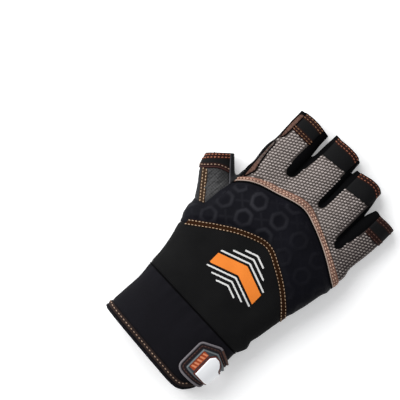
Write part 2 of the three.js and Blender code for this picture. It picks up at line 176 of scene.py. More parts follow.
def within(value: Array, low: float, high: float, soft: float = 0.3) -> Array:
    """1 where the value lies between low and high, 0 outside, with soft ends."""
    return ease(value, low - soft, low) * (1 - ease(value, high, high + soft))


def bell(value: Array, width: float, power: int = 2) -> Array:
    """1 where the value is 0, falling off on both sides, more squarely at a higher power."""
    return np.exp(-(np.abs(value / width) ** power))


def rise(reach: Array, width: float) -> Array:
    """A quarter-round edge: 0 at the seam and 1 from the width on."""
    return np.sqrt(1 - (1 - np.clip(reach / width, 0, 1)) ** 2)


def ripple(points: Array, wave: float, seed: int = SEED) -> Array:
    """A soft random unevenness of about -1 to 1, made of a few waves.

    Args:
        points: Points in millimetres.
        wave: The typical wavelength in millimetres.
        seed: Which pattern of waves.

    Returns:
        One value for each point.
    """
    draw = np.random.default_rng(seed)
    total = np.zeros(len(points))
    for _ in range(RIPPLE_WAVES):
        way = draw.normal(size=points.shape[1])
        way *= TURN / (wave * draw.uniform(*RIPPLE_SPREAD) * np.linalg.norm(way))
        total += np.sin(points @ way + draw.uniform(0, TURN))
    return total / math.sqrt(RIPPLE_WAVES)


# The hand form


@dataclass
class Tube:
    """A tube through rows of left x, left y, right x, right y, lowest and highest level."""

    rows: Rows
    # The row at its open end: the last, or the first
    mouth: int = -1
    # How much the tube leans to its right side, as a fall in level for each millimetre sideways
    lean: float = 0.0
    fine: Array = field(init=False)
    along: Array = field(init=False)

    STEPS = 8
    # How far the tube goes on past its mouth
    REACH = 9.0

    def _way(self, to: int, start: int) -> Array:
        """The way from the middle of one section to that of another."""
        end, first = self.fine[to], self.fine[start]
        return (end[:2] + end[2:4] - first[:2] - first[2:4]) / 2

    def __post_init__(self) -> None:
        """Cut the sections finer and lengthen the tube past its mouth."""
        self.fine = spline(self.rows, self.STEPS)
        way = self._way(-1, 0)
        straight = np.linalg.norm(way) > 3 * abs(way[0])
        self.along = np.array([0.0, 1.0]) if straight else way / np.linalg.norm(way)
        at_end, half = self.mouth == -1, self.STEPS // 2
        way = self._way(self.mouth, -1 - half if at_end else half)
        way *= self.REACH / np.linalg.norm(way)
        past = (self.fine[self.mouth] + np.concatenate([way, way, [0, 0]]))[None]
        self.fine = np.vstack([self.fine, past] if at_end else [past, self.fine])

    def locate(self, xy: Array) -> tuple[Array, ...]:
        """Find each plan point's section.

        Args:
            xy: Plan points.

        Returns:
            Sideways place from the middle, half width, middle level, half height, and how far the
            point is past an end of the tube.
        """
        left, right = self.fine[:, :2], self.fine[:, 2:4]
        across = right - left
        unit = across / np.linalg.norm(across, axis=1)[:, None]
        ahead = np.stack([-unit[:, 1], unit[:, 0]], 1)
        past = xy @ ahead.T - (left * ahead).sum(1)
        behind = past <= 0
        k = np.where(behind.any(1), behind.argmax(1), len(left) - 1).clip(1)
        rows = np.arange(len(xy))
        one, two = past[rows, k - 1], past[rows, k]
        share = np.clip(one / np.where(np.abs(one - two) < 1e-9, 1, one - two), 0, 1)
        here = self.fine[k - 1] * (1 - share)[:, None] + self.fine[k] * share[:, None]
        way = here[:, 2:4] - here[:, :2]
        width = np.linalg.norm(way, axis=1)
        centre = (here[:, 2:4] + here[:, :2]) / 2
        sideways = ((xy - centre) * way).sum(1) / width
        end = np.maximum(-past[:, 0], past[:, -1])
        level = (here[:, 4] + here[:, 5]) / 2 - self.lean * sideways
        return sideways, width / 2, level, (here[:, 5] - here[:, 4]) / 2, end


PALM = Tube((
    (-39.0, -98, 44.6, -98, 5.2, 34.5), (-38.8, -86, 45.2, -86, 5.2, 34.5),
    (-37.7, -70, 47.0, -70, 5.2, 33.5), (-37.0, -58, 48.4, -58, 5.1, 32.5),
    (-37.5, -49, 48.7, -49, 4.8, 32.0), (-38.7, -40, 52.0, -41, 4.2, 33.0),
    (-39.2, -34, 50.7, -35, 4.0, 33.5), (-40.2, -27, 52.2, -28, 3.7, 34.0),
    (-44.0, -10, 55.0, -10, 3.7, 34.5), (-46.6, 5, 57.4, 6, 3.7, 34.0),
    (-44.0, 20, 60.0, 20, 3.7, 33.0), (-38.5, 34, 63.2, 33, 3.7, 31.5),
    (-36.0, 49, 64.2, 44, 3.7, 28.5), (-31.0, 60, 57.0, 52, 5.5, 24.5),
    (-25.0, 66, 52.0, 57, 9.0, 19.0),
), mouth=0)
INDEX = Tube((
    (-35.2, 40, -4.0, 40, 4.2, 25.5), (-36.4, 52, -7.0, 52, 3.7, 26.0),
    (-37.4, 62, -9.4, 62, 3.7, 24.8), (-38.2, 71, -9.8, 71, 3.7, 23.6),
    (-37.0, 80, -9.8, 80, 3.7, 22.6), (-37.7, 88, -11.0, 88, 3.7, 21.9),
    (-38.2, 96, -12.1, 96, 3.4, 21.4), (-38.1, 105, -12.5, 105, 3.0, 21.0),
))
MIDDLE = Tube((
    (-18.0, 40, 26.0, 40, 4.2, 28.5), (-15.0, 52, 23.0, 52, 3.7, 28.0),
    (-12.2, 64, 19.6, 64, 3.7, 26.0), (-10.8, 74, 18.4, 74, 3.7, 24.2),
    (-10.5, 83, 18.3, 84, 3.6, 23.1), (-9.7, 91, 18.0, 92, 3.5, 22.2),
    (-9.2, 100, 16.9, 100, 3.3, 21.6), (-9.0, 109.5, 16.2, 109.5, 3.0, 21.2),
))
RING = Tube((
    (9.0, 38, 52.0, 36, 4.2, 27.0), (13.0, 50, 48.5, 48, 3.7, 27.0),
    (16.2, 64, 45.6, 60, 3.7, 25.4), (17.6, 74, 44.7, 70, 3.7, 23.8),
    (17.5, 84, 44.7, 80, 3.6, 22.8), (17.4, 93, 43.9, 89, 3.4, 22.0),
    (18.1, 99, 42.8, 97, 3.2, 21.5), (18.6, 103.5, 41.4, 103.5, 3.0, 21.0),
), lean=0.05)
LITTLE = Tube((
    (36.0, 26, 62.4, 28, 4.2, 24.5), (39.5, 40, 63.0, 42, 3.7, 23.8),
    (42.4, 51, 63.8, 53, 3.7, 22.8), (43.5, 61, 65.2, 63, 3.7, 21.6),
    (43.6, 71, 66.1, 71, 3.7, 20.8), (44.2, 79.5, 66.7, 80, 3.5, 20.2),
    (46.0, 86.5, 66.4, 86.5, 3.2, 19.9), (47.8, 91, 65.8, 90.4, 3.0, 19.6),
), lean=0.18)
THUMB = Tube((
    (-38.0, -12, -14.0, 22, 5.0, 26.0), (-45.5, 4, -26.0, 32, 4.0, 25.5),
    (-50.0, 11, -36.0, 36.2, 3.7, 24.5), (-55.4, 18.5, -41.0, 39.8, 3.7, 23.2),
    (-61.5, 27, -45.0, 43.8, 3.5, 22.0), (-64.2, 35.6, -51.0, 49.2, 3.2, 21.2),
))
TUBES = (PALM, INDEX, MIDDLE, RING, LITTLE, THUMB)


@dataclass
class Skin:
    """A triangle mesh in millimetres. A row holds a place, a normal and the cloth's u and v."""

    rows: Array
    faces: Array

    # Values nearer to 0 than this are moved off it, so that no sliver is cut
    NEAR_ZERO = 0.03

    @property
    def points(self) -> Array:
        """The places of the vertices."""
        return self.rows[:, :3]

    @property
    def plan(self) -> Array:
        """The places of the vertices in plan."""
        return self.rows[:, :2]

    @property
    def normals(self) -> Array:
        """The normals of the vertices."""
        return self.rows[:, 3:6]

    @property
    def cloth(self) -> Array:
        """The cloth coordinates of the vertices."""
        return self.rows[:, 6:8]

    def _of(self, rows: Array, faces: Array) -> Skin:
        """A skin of the vertices that the faces use, with normals of length 1.

        Args:
            rows: The vertices.
            faces: The triangles.

        Returns:
            The skin.
        """
        used, faces = np.unique(faces, return_inverse=True)
        rows = rows[used].copy()
        rows[:, 3:6] /= np.linalg.norm(rows[:, 3:6], axis=1)[:, None]
        return Skin(rows, faces.reshape(-1, 3))

    def part(self, keep: Array) -> Skin:
        """The triangles that touch a vertex with keep set."""
        return self._of(self.rows, self.faces[keep[self.faces].any(1)])

    def finer(self) -> Skin:
        """The same surface with each triangle cut into four.

        Returns:
            The finer skin.
        """
        edges = np.sort(self.faces[:, [0, 1, 1, 2, 2, 0]].reshape(-1, 2), 1)
        edges, where = np.unique(edges, axis=0, return_inverse=True)
        ab, bc, ca = (where.reshape(-1, 3) + len(self.rows)).T
        a, b, c = self.faces.T
        corners = ((a, ab, ca), (b, bc, ab), (c, ca, bc), (ab, bc, ca))
        faces = np.concatenate([np.stack(corner, 1) for corner in corners])
        return self._of(np.vstack([self.rows, self.rows[edges].mean(1)]), faces)

    def _crossings(self, values: Array) -> tuple[Array, ...]:
        """Find where the values pass 0.

        Args:
            values: One value for each vertex.

        Returns:
            The mixed triangles with their lone vertex first, the crossed edges, the share along
            each edge, and the two crossed edges of each mixed triangle.
        """
        up = values > 0
        count = up[self.faces].sum(1)
        mixed = self.faces[(count == 1) | (count == 2)]
        lone = np.where(up[mixed].sum(1) == 1, up[mixed].argmax(1), (~up[mixed]).argmax(1))
        turned = np.stack([mixed[np.arange(len(mixed)), (lone + k) % 3] for k in range(3)], 1)
        pairs = np.sort(np.concatenate([turned[:, [0, 1]], turned[:, [0, 2]]]), 1)
        pairs, where = np.unique(pairs, axis=0, return_inverse=True)
        share = values[pairs[:, 0]] / (values[pairs[:, 0]] - values[pairs[:, 1]])
        return turned, pairs, share[:, None], where.reshape(2, -1)

    def cut(self, values: Array) -> Skin:
        """Keep the part of the surface where the values are above 0, cut exactly along 0.

        Args:
            values: One value for each vertex.

        Returns:
            The part.
        """
        values = np.where(np.abs(values) < self.NEAR_ZERO, self.NEAR_ZERO, values)
        up = values > 0
        if up[self.faces].all():
            return self
        turned, pairs, share, where = self._crossings(values)
        crossed = self.rows[pairs[:, 0]] * (1 - share) + self.rows[pairs[:, 1]] * share
        (a, b, c), (ab, ac) = turned.T, where + len(self.rows)
        one = up[a]
        faces = [self.faces[up[self.faces].all(1)], np.stack([a, ab, ac], 1)[one],
                 np.stack([ab, b, c], 1)[~one], np.stack([ab, c, ac], 1)[~one]]
        return self._of(np.vstack([self.rows, crossed]), np.concatenate(faces))

    def lifted(self, height: Array | float) -> Skin:
        """The surface moved out along its normals, and flattened where it would pass the floor.

        Args:
            height: How far each vertex moves.

        Returns:
            The moved surface.
        """
        rows = self.rows.copy()
        rows[:, :3] += self.normals * np.broadcast_to(height, len(rows))[:, None]
        rows[:, 2] = np.maximum(rows[:, 2], FLOOR_CLEARANCE)
        return Skin(rows, self.faces)

    def main_parts(self, least: int = 60) -> Skin:
        """Leave out small islands.

        Args:
            least: The fewest triangles of an island that stays.

        Returns:
            The rest.
        """
        label = np.arange(len(self.rows))
        while True:
            new = label.copy()
            np.minimum.at(new, self.faces.ravel(), np.repeat(label[self.faces].min(1), 3))
            new = new[new]
            if (new == label).all():
                break
            label = new
        _, where, count = np.unique(label[self.faces[:, 0]], return_inverse=True,
                                    return_counts=True)
        return self._of(self.rows, self.faces[count[where] >= least])

    def lines(self, values: Array, limit: Array, shortest: float = 4.0) -> list[Array]:
        """Follow the lines along which the values pass 0.

        Args:
            values: One value for each vertex.
            limit: One value for each vertex. A line is kept where it is above 0.
            shortest: The shortest line that is kept.

        Returns:
            One array for each line, with a place and a normal in each row.
        """
        values = np.where(values == 0, 1e-6, values)
        _, pairs, share, where = self._crossings(values)
        data = np.hstack([self.rows[:, :6], limit[:, None]])
        data = data[pairs[:, 0]] * (1 - share) + data[pairs[:, 1]] * share
        near: dict[int, list[int]] = {}
        for one, two in where.T.tolist():
            if data[one, 6] > 0 and data[two, 6] > 0:
                near.setdefault(one, []).append(two)
                near.setdefault(two, []).append(one)
        left, found = set(near), []
        for start in sorted(n for n in near if len(near[n]) == 1) + sorted(near):
            if start not in left:
                continue
            chain = [start]
            left.discard(start)
            while following := [n for n in near[chain[-1]] if n in left]:
                chain.append(following[0])
                left.discard(following[0])
            line = data[chain, :6]
            if len(chain) > 8 and start in near[chain[-1]]:
                line = np.vstack([line, line[:1]])
            if np.linalg.norm(np.diff(line[:, :3], axis=0), axis=1).sum() > shortest:
                found.append(line)
        return found


class HandForm:
    """The smooth outer form of the glove, as a distance field on a grid and its surface."""

    LOW = np.array([-72.0, -103.0, -3.0])
    HIGH = np.array([74.0, 117.0, 42.0])
    # The field is worked out this far about a tube, and is FAR beyond
    MARGIN = 16
    FAR = 40.0
    # How square the upper and the lower half of a tube's section are
    UPPER_SQUARENESS = 2.5
    LOWER_SQUARENESS = 4.0
    # Within this share of a section the field is held level, and shares are never quite 0
    CORE = 0.25
    TINY = 1e-4
    # A finger blends with its neighbour only below this line, and fades to the gap above it
    CROTCH = np.array([[-60, 66], [-12.5, 70], [18, 70], [45, 60], [80, 52]])
    CROTCH_FADE = 8
    FINGER_GAP = 0.2
    FINGER_BLEND = 6.0
    PALM_BLEND = 5.0
    THUMB_BLEND = 5.0
    CAP_BLEND = 3.0

    def __init__(self, pitch: float) -> None:
        """Work out the field.

        Args:
            pitch: The grid's spacing in millimetres.
        """
        self.pitch = pitch
        axes = [np.arange(a, b, pitch) for a, b in zip(self.LOW, self.HIGH)]
        shape = [len(a) for a in axes]
        plan = np.stack(np.meshgrid(*axes[:2], indexing="ij"), -1).reshape(-1, 2)
        palm, *fingers, thumb = [self._tube_field(tube, plan, axes[2]).reshape(shape)
                                 for tube in TUBES]
        low = (np.interp(plan[:, 0], *self.CROTCH.T) - plan[:, 1]) / self.CROTCH_FADE
        soft = (self.FINGER_GAP + self.FINGER_BLEND * np.clip(low, 0, 1)).reshape(*shape[:2], 1)
        joined = fingers[0]
        for other in fingers[1:]:
            joined = self._join(joined, other, soft)
        self.field = self._join(self._join(palm, joined, self.PALM_BLEND), thumb, self.THUMB_BLEND)

    @staticmethod
    def _join(one: Array, two: Array, soft: Array | float) -> Array:
        """The smooth union of two distance fields."""
        near = np.maximum(soft - np.abs(one - two), 0) / soft
        return np.minimum(one, two) - near * near * soft / 4

    def _tube_field(self, tube: Tube, plan: Array, height: Array) -> Array:
        """The distance from a tube's wall over the grid, negative inside.

        Args:
            tube: The tube.
            plan: The grid's plan points.
            height: The grid's levels.

        Returns:
            An array of plan points by levels.
        """
        out = np.full((len(plan), len(height)), self.FAR, np.float32)
        corners = tube.fine[:, :4].reshape(-1, 2)
        low, high = corners.min(0) - self.MARGIN, corners.max(0) + self.MARGIN
        near = np.flatnonzero(((plan > low) & (plan < high)).all(1))
        side, half, level, tall, past = tube.locate(plan[near])
        up = height[None, :] - level[:, None]
        power = np.where(up < 0, self.LOWER_SQUARENESS, self.UPPER_SQUARENESS)
        across = np.maximum(np.abs(side / half), self.TINY)[:, None]
        upward = np.maximum(np.abs(up) / tall[:, None], self.TINY)
        size = np.maximum((across**power + upward**power) ** (1 / power), self.CORE)
        slope = np.hypot(across ** (power - 1) / half[:, None],
                         upward ** (power - 1) / tall[:, None])
        wall = np.clip((size - 1) * size ** (power - 1) / slope, -self.FAR, self.FAR)
        cap = np.broadcast_to(past[:, None], wall.shape)
        out[near] = -self._join(-wall, -cap, self.CAP_BLEND)
        return out

    def _sample(self, grid: Array, points: Array) -> Array:
        """Read a grid between its nodes.

        Args:
            grid: Numbers or vectors on the grid.
            points: Where to read them.

        Returns:
            One number or vector for each point.
        """
        place = (points - self.LOW) / self.pitch
        base = np.clip(place.astype(int), 0, np.array(grid.shape[:3]) - 2)
        part = place - base
        total = 0.0
        for corner in np.ndindex(2, 2, 2):
            weight = np.prod(np.where(corner, part, 1 - part), axis=1)
            weight = weight[:, None] if grid.ndim > 3 else weight
            total = total + grid[tuple((base + corner).T)] * weight
        return total

    def _vertices(self) -> tuple[Array, Array]:
        """Place one vertex in each grid cell that the surface passes.

        Returns:
            The places, and the number of each cell's vertex.
        """
        f, steps = self.field, list(np.ndindex(2, 2, 2))
        corners = [f[i:f.shape[0] - 1 + i, j:f.shape[1] - 1 + j, k:f.shape[2] - 1 + k]
                   for i, j, k in steps]
        inside = np.stack([c < 0 for c in corners])
        active = inside.any(0) & ~inside.all(0)
        cells = np.argwhere(active)
        number = np.full(active.shape, -1, np.int32)
        number[active] = np.arange(len(cells))
        value = np.stack([c[active] for c in corners], 1)
        offset = np.array(steps, float)
        total, hits = np.zeros((len(cells), 3)), np.zeros(len(cells))
        for a in range(8):
            for b in range(a + 1, 8):
                if np.abs(offset[a] - offset[b]).sum() != 1:
                    continue
                va, vb = value[:, a], value[:, b]
                crossed = (va < 0) != (vb < 0)
                share = np.where(crossed, va / np.where(crossed, va - vb, 1), 0)[:, None]
                place = offset[a] * (1 - share) + offset[b] * share
                total += np.where(crossed[:, None], place, 0)
                hits += crossed
        return self.LOW + (cells + total / hits[:, None]) * self.pitch, number

    def _quads(self, number: Array) -> Array:
        """Join the vertices of the four cells round each crossed edge of the grid.

        Args:
            number: The number of each cell's vertex.

        Returns:
            Four vertices for each quad, which face outwards.
        """
        quads = []
        for axis in range(3):
            order = (axis, (axis + 1) % 3, (axis + 2) % 3)
            signs = np.moveaxis(self.field, order, (0, 1, 2)) < 0
            cell = np.moveaxis(number, order, (0, 1, 2))
            i, j, k = np.nonzero(signs[:-1, 1:-1, 1:-1] != signs[1:, 1:-1, 1:-1])
            ring = np.stack([cell[i, j, k], cell[i, j + 1, k], cell[i, j + 1, k + 1],
                             cell[i, j, k + 1]], 1)
            outward = signs[:-1, 1:-1, 1:-1][i, j, k]
            ring[~outward] = ring[~outward][:, ::-1]
            quads.append(ring)
        return np.concatenate(quads)

    def surface(self) -> Skin:
        """The outer surface, its vertices drawn onto the form.

        Returns:
            The skin.
        """
        points, number = self._vertices()
        quads = self._quads(number)
        gradient = np.stack(np.gradient(self.field.astype(float), self.pitch), -1)
        normals = self._sample(gradient, points)
        off = self._sample(self.field, points) / (normals**2).sum(1)
        points = points - normals * off[:, None]
        normals /= np.linalg.norm(normals, axis=1)[:, None]
        one, two = (np.linalg.norm(points[quads[:, k]] - points[quads[:, k + 2]], axis=1)
                    for k in (0, 1))
        halves = ((one < two, ([0, 1, 2], [0, 2, 3])), (~(one < two), ([0, 1, 3], [1, 2, 3])))
        faces = np.concatenate([quads[which][:, half] for which, pair in halves for half in pair])
        return Skin(np.hstack([points, normals, cloth_of(points)]), faces)


# How cloth turns down a tube's side: as a rounded corner of this power
TURN_DOWN = 1.25


def cloth_of(points: Array) -> Array:
    """Two coordinates in millimetres that follow the cloth, across the tube and along it.

    Args:
        points: Places on the skin.

    Returns:
        A pair for each place.
    """
    best = np.full(len(points), np.inf)
    cloth = np.zeros((len(points), 2))
    # The palm side is one sheet of leather, whose grid doesn't turn with the thumb
    one_sheet = (UNDER.reach(points) > 0)[:, None]
    for tube in TUBES:
        side, half, level, tall, past = tube.locate(points[:, :2])
        up = points[:, 2] - level
        miss = np.abs(np.hypot(side / half, up / tall) - 1) * half + np.maximum(past, 0)
        nearer = miss < best
        best = np.where(nearer, miss, best)
        side_way, drop = np.abs(side), np.maximum(tall - np.abs(up), 0)
        further = (side_way**TURN_DOWN + drop**TURN_DOWN) ** (1 / TURN_DOWN) - side_way
        across = np.array([tube.along[1], -tube.along[0]])
        flat = points[:, :2] + (np.sign(side) * further)[:, None] * across
        turned = flat @ np.stack([across, tube.along], 1)
        cloth = np.where(nearer[:, None], np.where(one_sheet, flat, turned), cloth)
    return cloth


# Seams in plan, from the thumb side to the little finger side

HEM_WIDTH = 6.0
HEM_MARGIN = 2.3
HEM_EDGE = spline([
    (-52, -86), (-39, -88.6), (-36, -89.6), (-20, -91.2), (0, -92.9), (15, -94.1), (28, -95.1),
    (35, -94.8), (39, -93.2), (42, -90.5), (45, -86.2), (47.2, -82.6), (56, -76)])
HEM_TAPE = HEM_EDGE + [0, HEM_MARGIN]
HEM_SEAM = HEM_EDGE + [0, HEM_WIDTH]
CUFF_SEAM = spline([(-60, -44.4), (-20, -45.8), (0, -46.5), (20, -47.2), (70, -49.2)])
BACK_ARC = spline([
    (-62, -22), (-50, -14.5), (-40, -7.1), (-35, -3.4), (-30, 0.2), (-25, 3.9), (-20, 7.2),
    (-15, 10.5), (-10, 13.4), (-5, 15.8), (0, 18.0), (6, 20.0), (11, 20.7), (16, 19.8),
    (20, 18.1), (25, 15.4), (30, 12.7), (35, 9.7), (40, 6.3), (45, 2.3), (50, -2.2), (54, -6.4),
    (58, -10.8), (72, -27)], 4)
PAD_ARC = spline([
    (-37.2, 35.6), (-35, 38.4), (-30, 42.8), (-25, 45.7), (-20, 47.8), (-10, 50.8), (0, 54.2),
    (6, 55.8), (11, 56.4), (16, 55.8), (21, 54.3), (30, 50.9), (40, 46.4), (50, 40.9),
    (60, 34.6), (78, 24)], 4)
TRIM_ARC = spline([
    (-40, 36.5), (-36, 41.5), (-30, 47.0), (-20, 52.6), (-10, 55.8), (0, 59.6), (6, 61.3),
    (11, 61.9), (16, 61.2), (21, 59.3), (30, 55.6), (40, 51.0), (50, 46.2), (60, 40.8),
    (78, 30.6)], 4)
# The level of the seam between back and palm side, at each y
SIDE_SEAM = np.array([(-60, 12.5), (0, 12), (50, 10.5), (120, 9.5)])
THUMB_OUTLINE = np.array([(-36.9, 37), (-39.6, 25), (-41, 10.5), (-60, 4), (-86, -4), (-86, 64),
                          (-42, 62), (-37.2, 46)])
THUMB_BAND_OUTLINE = np.vstack([spline([
    (-72, 17), (-60.6, 26), (-57, 29.3), (-53.2, 33.2), (-50, 35.4), (-46, 36.9), (-38, 39),
], 4), [(-52, 66), (-86, 40)]])
GUSSET_OUTLINE = np.vstack([spline([
    (-61, 43), (-57.4, 37.6), (-50.5, 24.6), (-44.4, 14.4), (-40, 3), (-36.6, -12), (-31.5, -52),
]), [(-86, -52), (-86, 43)]])
# The tape down the side of the index finger: its inner edge, and the dark edge outside it
SIDE_BINDING = np.vstack([[(-46, 40)], spline([
    (-34.6, 42.6), (-33.4, 45.6), (-32.2, 49), (-31.6, 52.4), (-33.0, 58), (-34.1, 64),
    (-34.8, 70), (-35.3, 75), (-37.6, 77.8), (-37.6, 79.6), (-34.8, 82), (-34.1, 86),
    (-33.9, 92), (-34.0, 104), (-34.0, 119)], 4), [(-46, 119)]])
SIDE_EDGE = np.vstack([[(-46, 40)], spline([
    (-35.3, 42), (-35.7, 48), (-36.4, 55), (-36.9, 60), (-37.3, 66), (-37.6, 72), (-37.3, 77),
    (-36.7, 80), (-37.2, 85), (-37.7, 90), (-37.9, 96), (-37.8, 101)], 4),
    [(-37.0, 103.2), (-33.9, 103.8), (-33.9, 119), (-46, 119)]])
# Where the thumb's leather ends on its outer side
THUMB_SIDE = np.array([(-76, 48.0), (-61.8, 30.4), (-43.6, 7.9), (-36, -1.5)])
# The knit strip down the inner side of the thumb, above this line
THUMB_STRIP = np.array([(-60, 55.5), (-52, 47.2), (-45, 39.6), (-38, 32.3), (-35.5, 29.8)])
BOWL_POINTS = 14


def fourchette_outline(foot: float, rows: Rows) -> Array:
    """The outline of a side wall between two fingers, with a round foot.

    Args:
        foot: How low it reaches.
        rows: Its width at a few levels, each as y, left x and right x.

    Returns:
        The outline's points.
    """
    (y, left, right), *rest = rows
    t = np.linspace(0, math.pi, BOWL_POINTS)
    bowl = np.stack([(left + right) / 2 - np.cos(t) * (right - left) / 2,
                     y - np.sin(t) * (y - foot)], 1)
    return np.vstack([bowl, [(r, q) for q, _, r in rest], [(l, q) for q, l, _ in reversed(rest)]])


FOURCHETTES = {
    "fourchette_index_middle": fourchette_outline(65.4, [
        (73, -17.5, -8.8), (80, -18.1, -8.0), (88, -17.9, -7.0), (96, -17.6, -6.6),
        (118, -17.6, -6.5)]),
    "fourchette_middle_ring": fourchette_outline(65.4, [
        (70.5, 15.0, 20.7), (80, 14.7, 21.3), (90, 14.2, 21.8), (118, 14.0, 21.8)]),
    "fourchette_ring_pinky": fourchette_outline(53.1, [
        (61, 42.15, 49.8), (66, 42.2, 50.8), (72, 42.3, 51.9), (80, 42.3, 52.6),
        (108, 42.2, 52.8)]),
}

# Where each finger and the thumb end, as the region past its mouth
MOUTHS = tuple(np.vstack([spline(rows, 4), far]) for rows, far in (
    (((-60, 103.6), (-38.2, 104.7), (-34, 105.8), (-26, 106.4), (-18, 105.7), (-10.8, 104.6)),
     ((-10.8, 130), (-60, 130))),
    (((-10.8, 109.6), (-7, 109.6), (-4, 109.3), (2, 109.9), (9, 109.9), (13, 109), (17.5, 106.8)),
     ((17.5, 130), (-10.8, 130))),
    (((17.5, 102.5), (20, 102.4), (25, 103.7), (31, 105.1), (37, 105.0), (41, 103), (45.3, 99.8)),
     ((45.3, 130), (17.5, 130))),
    (((45.3, 90.2), (49, 91.9), (53, 91.1), (60, 91.4), (65, 91.0), (80, 88.6)),
     ((80, 120), (45.3, 120))),
    (((-68, 31), (-64.6, 36.4), (-60.2, 41.1), (-55.4, 45.6), (-51, 49.6), (-46, 54.2)),
     ((-70, 80), (-100, 50))),
))
THUMB_MOUTH = MOUTHS[4]


# Finishes


class Pattern(Enum):
    """How a fabric's surface repeats."""

    WOVEN = "woven"
    SQUARES = "squares"
    RIBBED = "ribbed"
    KNITTED = "knitted"
    PLAIN = "plain"


def linear(colour: str) -> tuple[float, float, float, float]:
    """An sRGB hex colour as linear red, green, blue and alpha."""
    parts = [int(colour[i:i + 2], 16) / 255 for i in (1, 3, 5)]
    return (*[c / 12.92 if c <= 0.04045 else ((c + 0.055) / 1.055) ** 2.4 for c in parts], 1.0)


def add_node(tree: bpy.types.NodeTree, kind: str, inputs: dict | None = None, out: int | str = 0,
             **settings: object) -> bpy.types.NodeSocket | None:
    """Add a node to a tree.

    Args:
        tree: The node tree.
        kind: Blender's name of the node.
        inputs: Values or sockets for its inputs, by name or number.
        out: Which of its outputs is wanted.
        settings: Its properties.

    Returns:
        The output's socket, or None where the node has none.
    """
    node = tree.nodes.new(kind)
    for name, value in settings.items():
        setattr(node, name, value)
    for key, value in (inputs or {}).items():
        if isinstance(value, bpy.types.NodeSocket):
            tree.links.new(value, node.inputs[key])
        else:
            node.inputs[key].default_value = value
    return node.outputs[out] if node.outputs else None


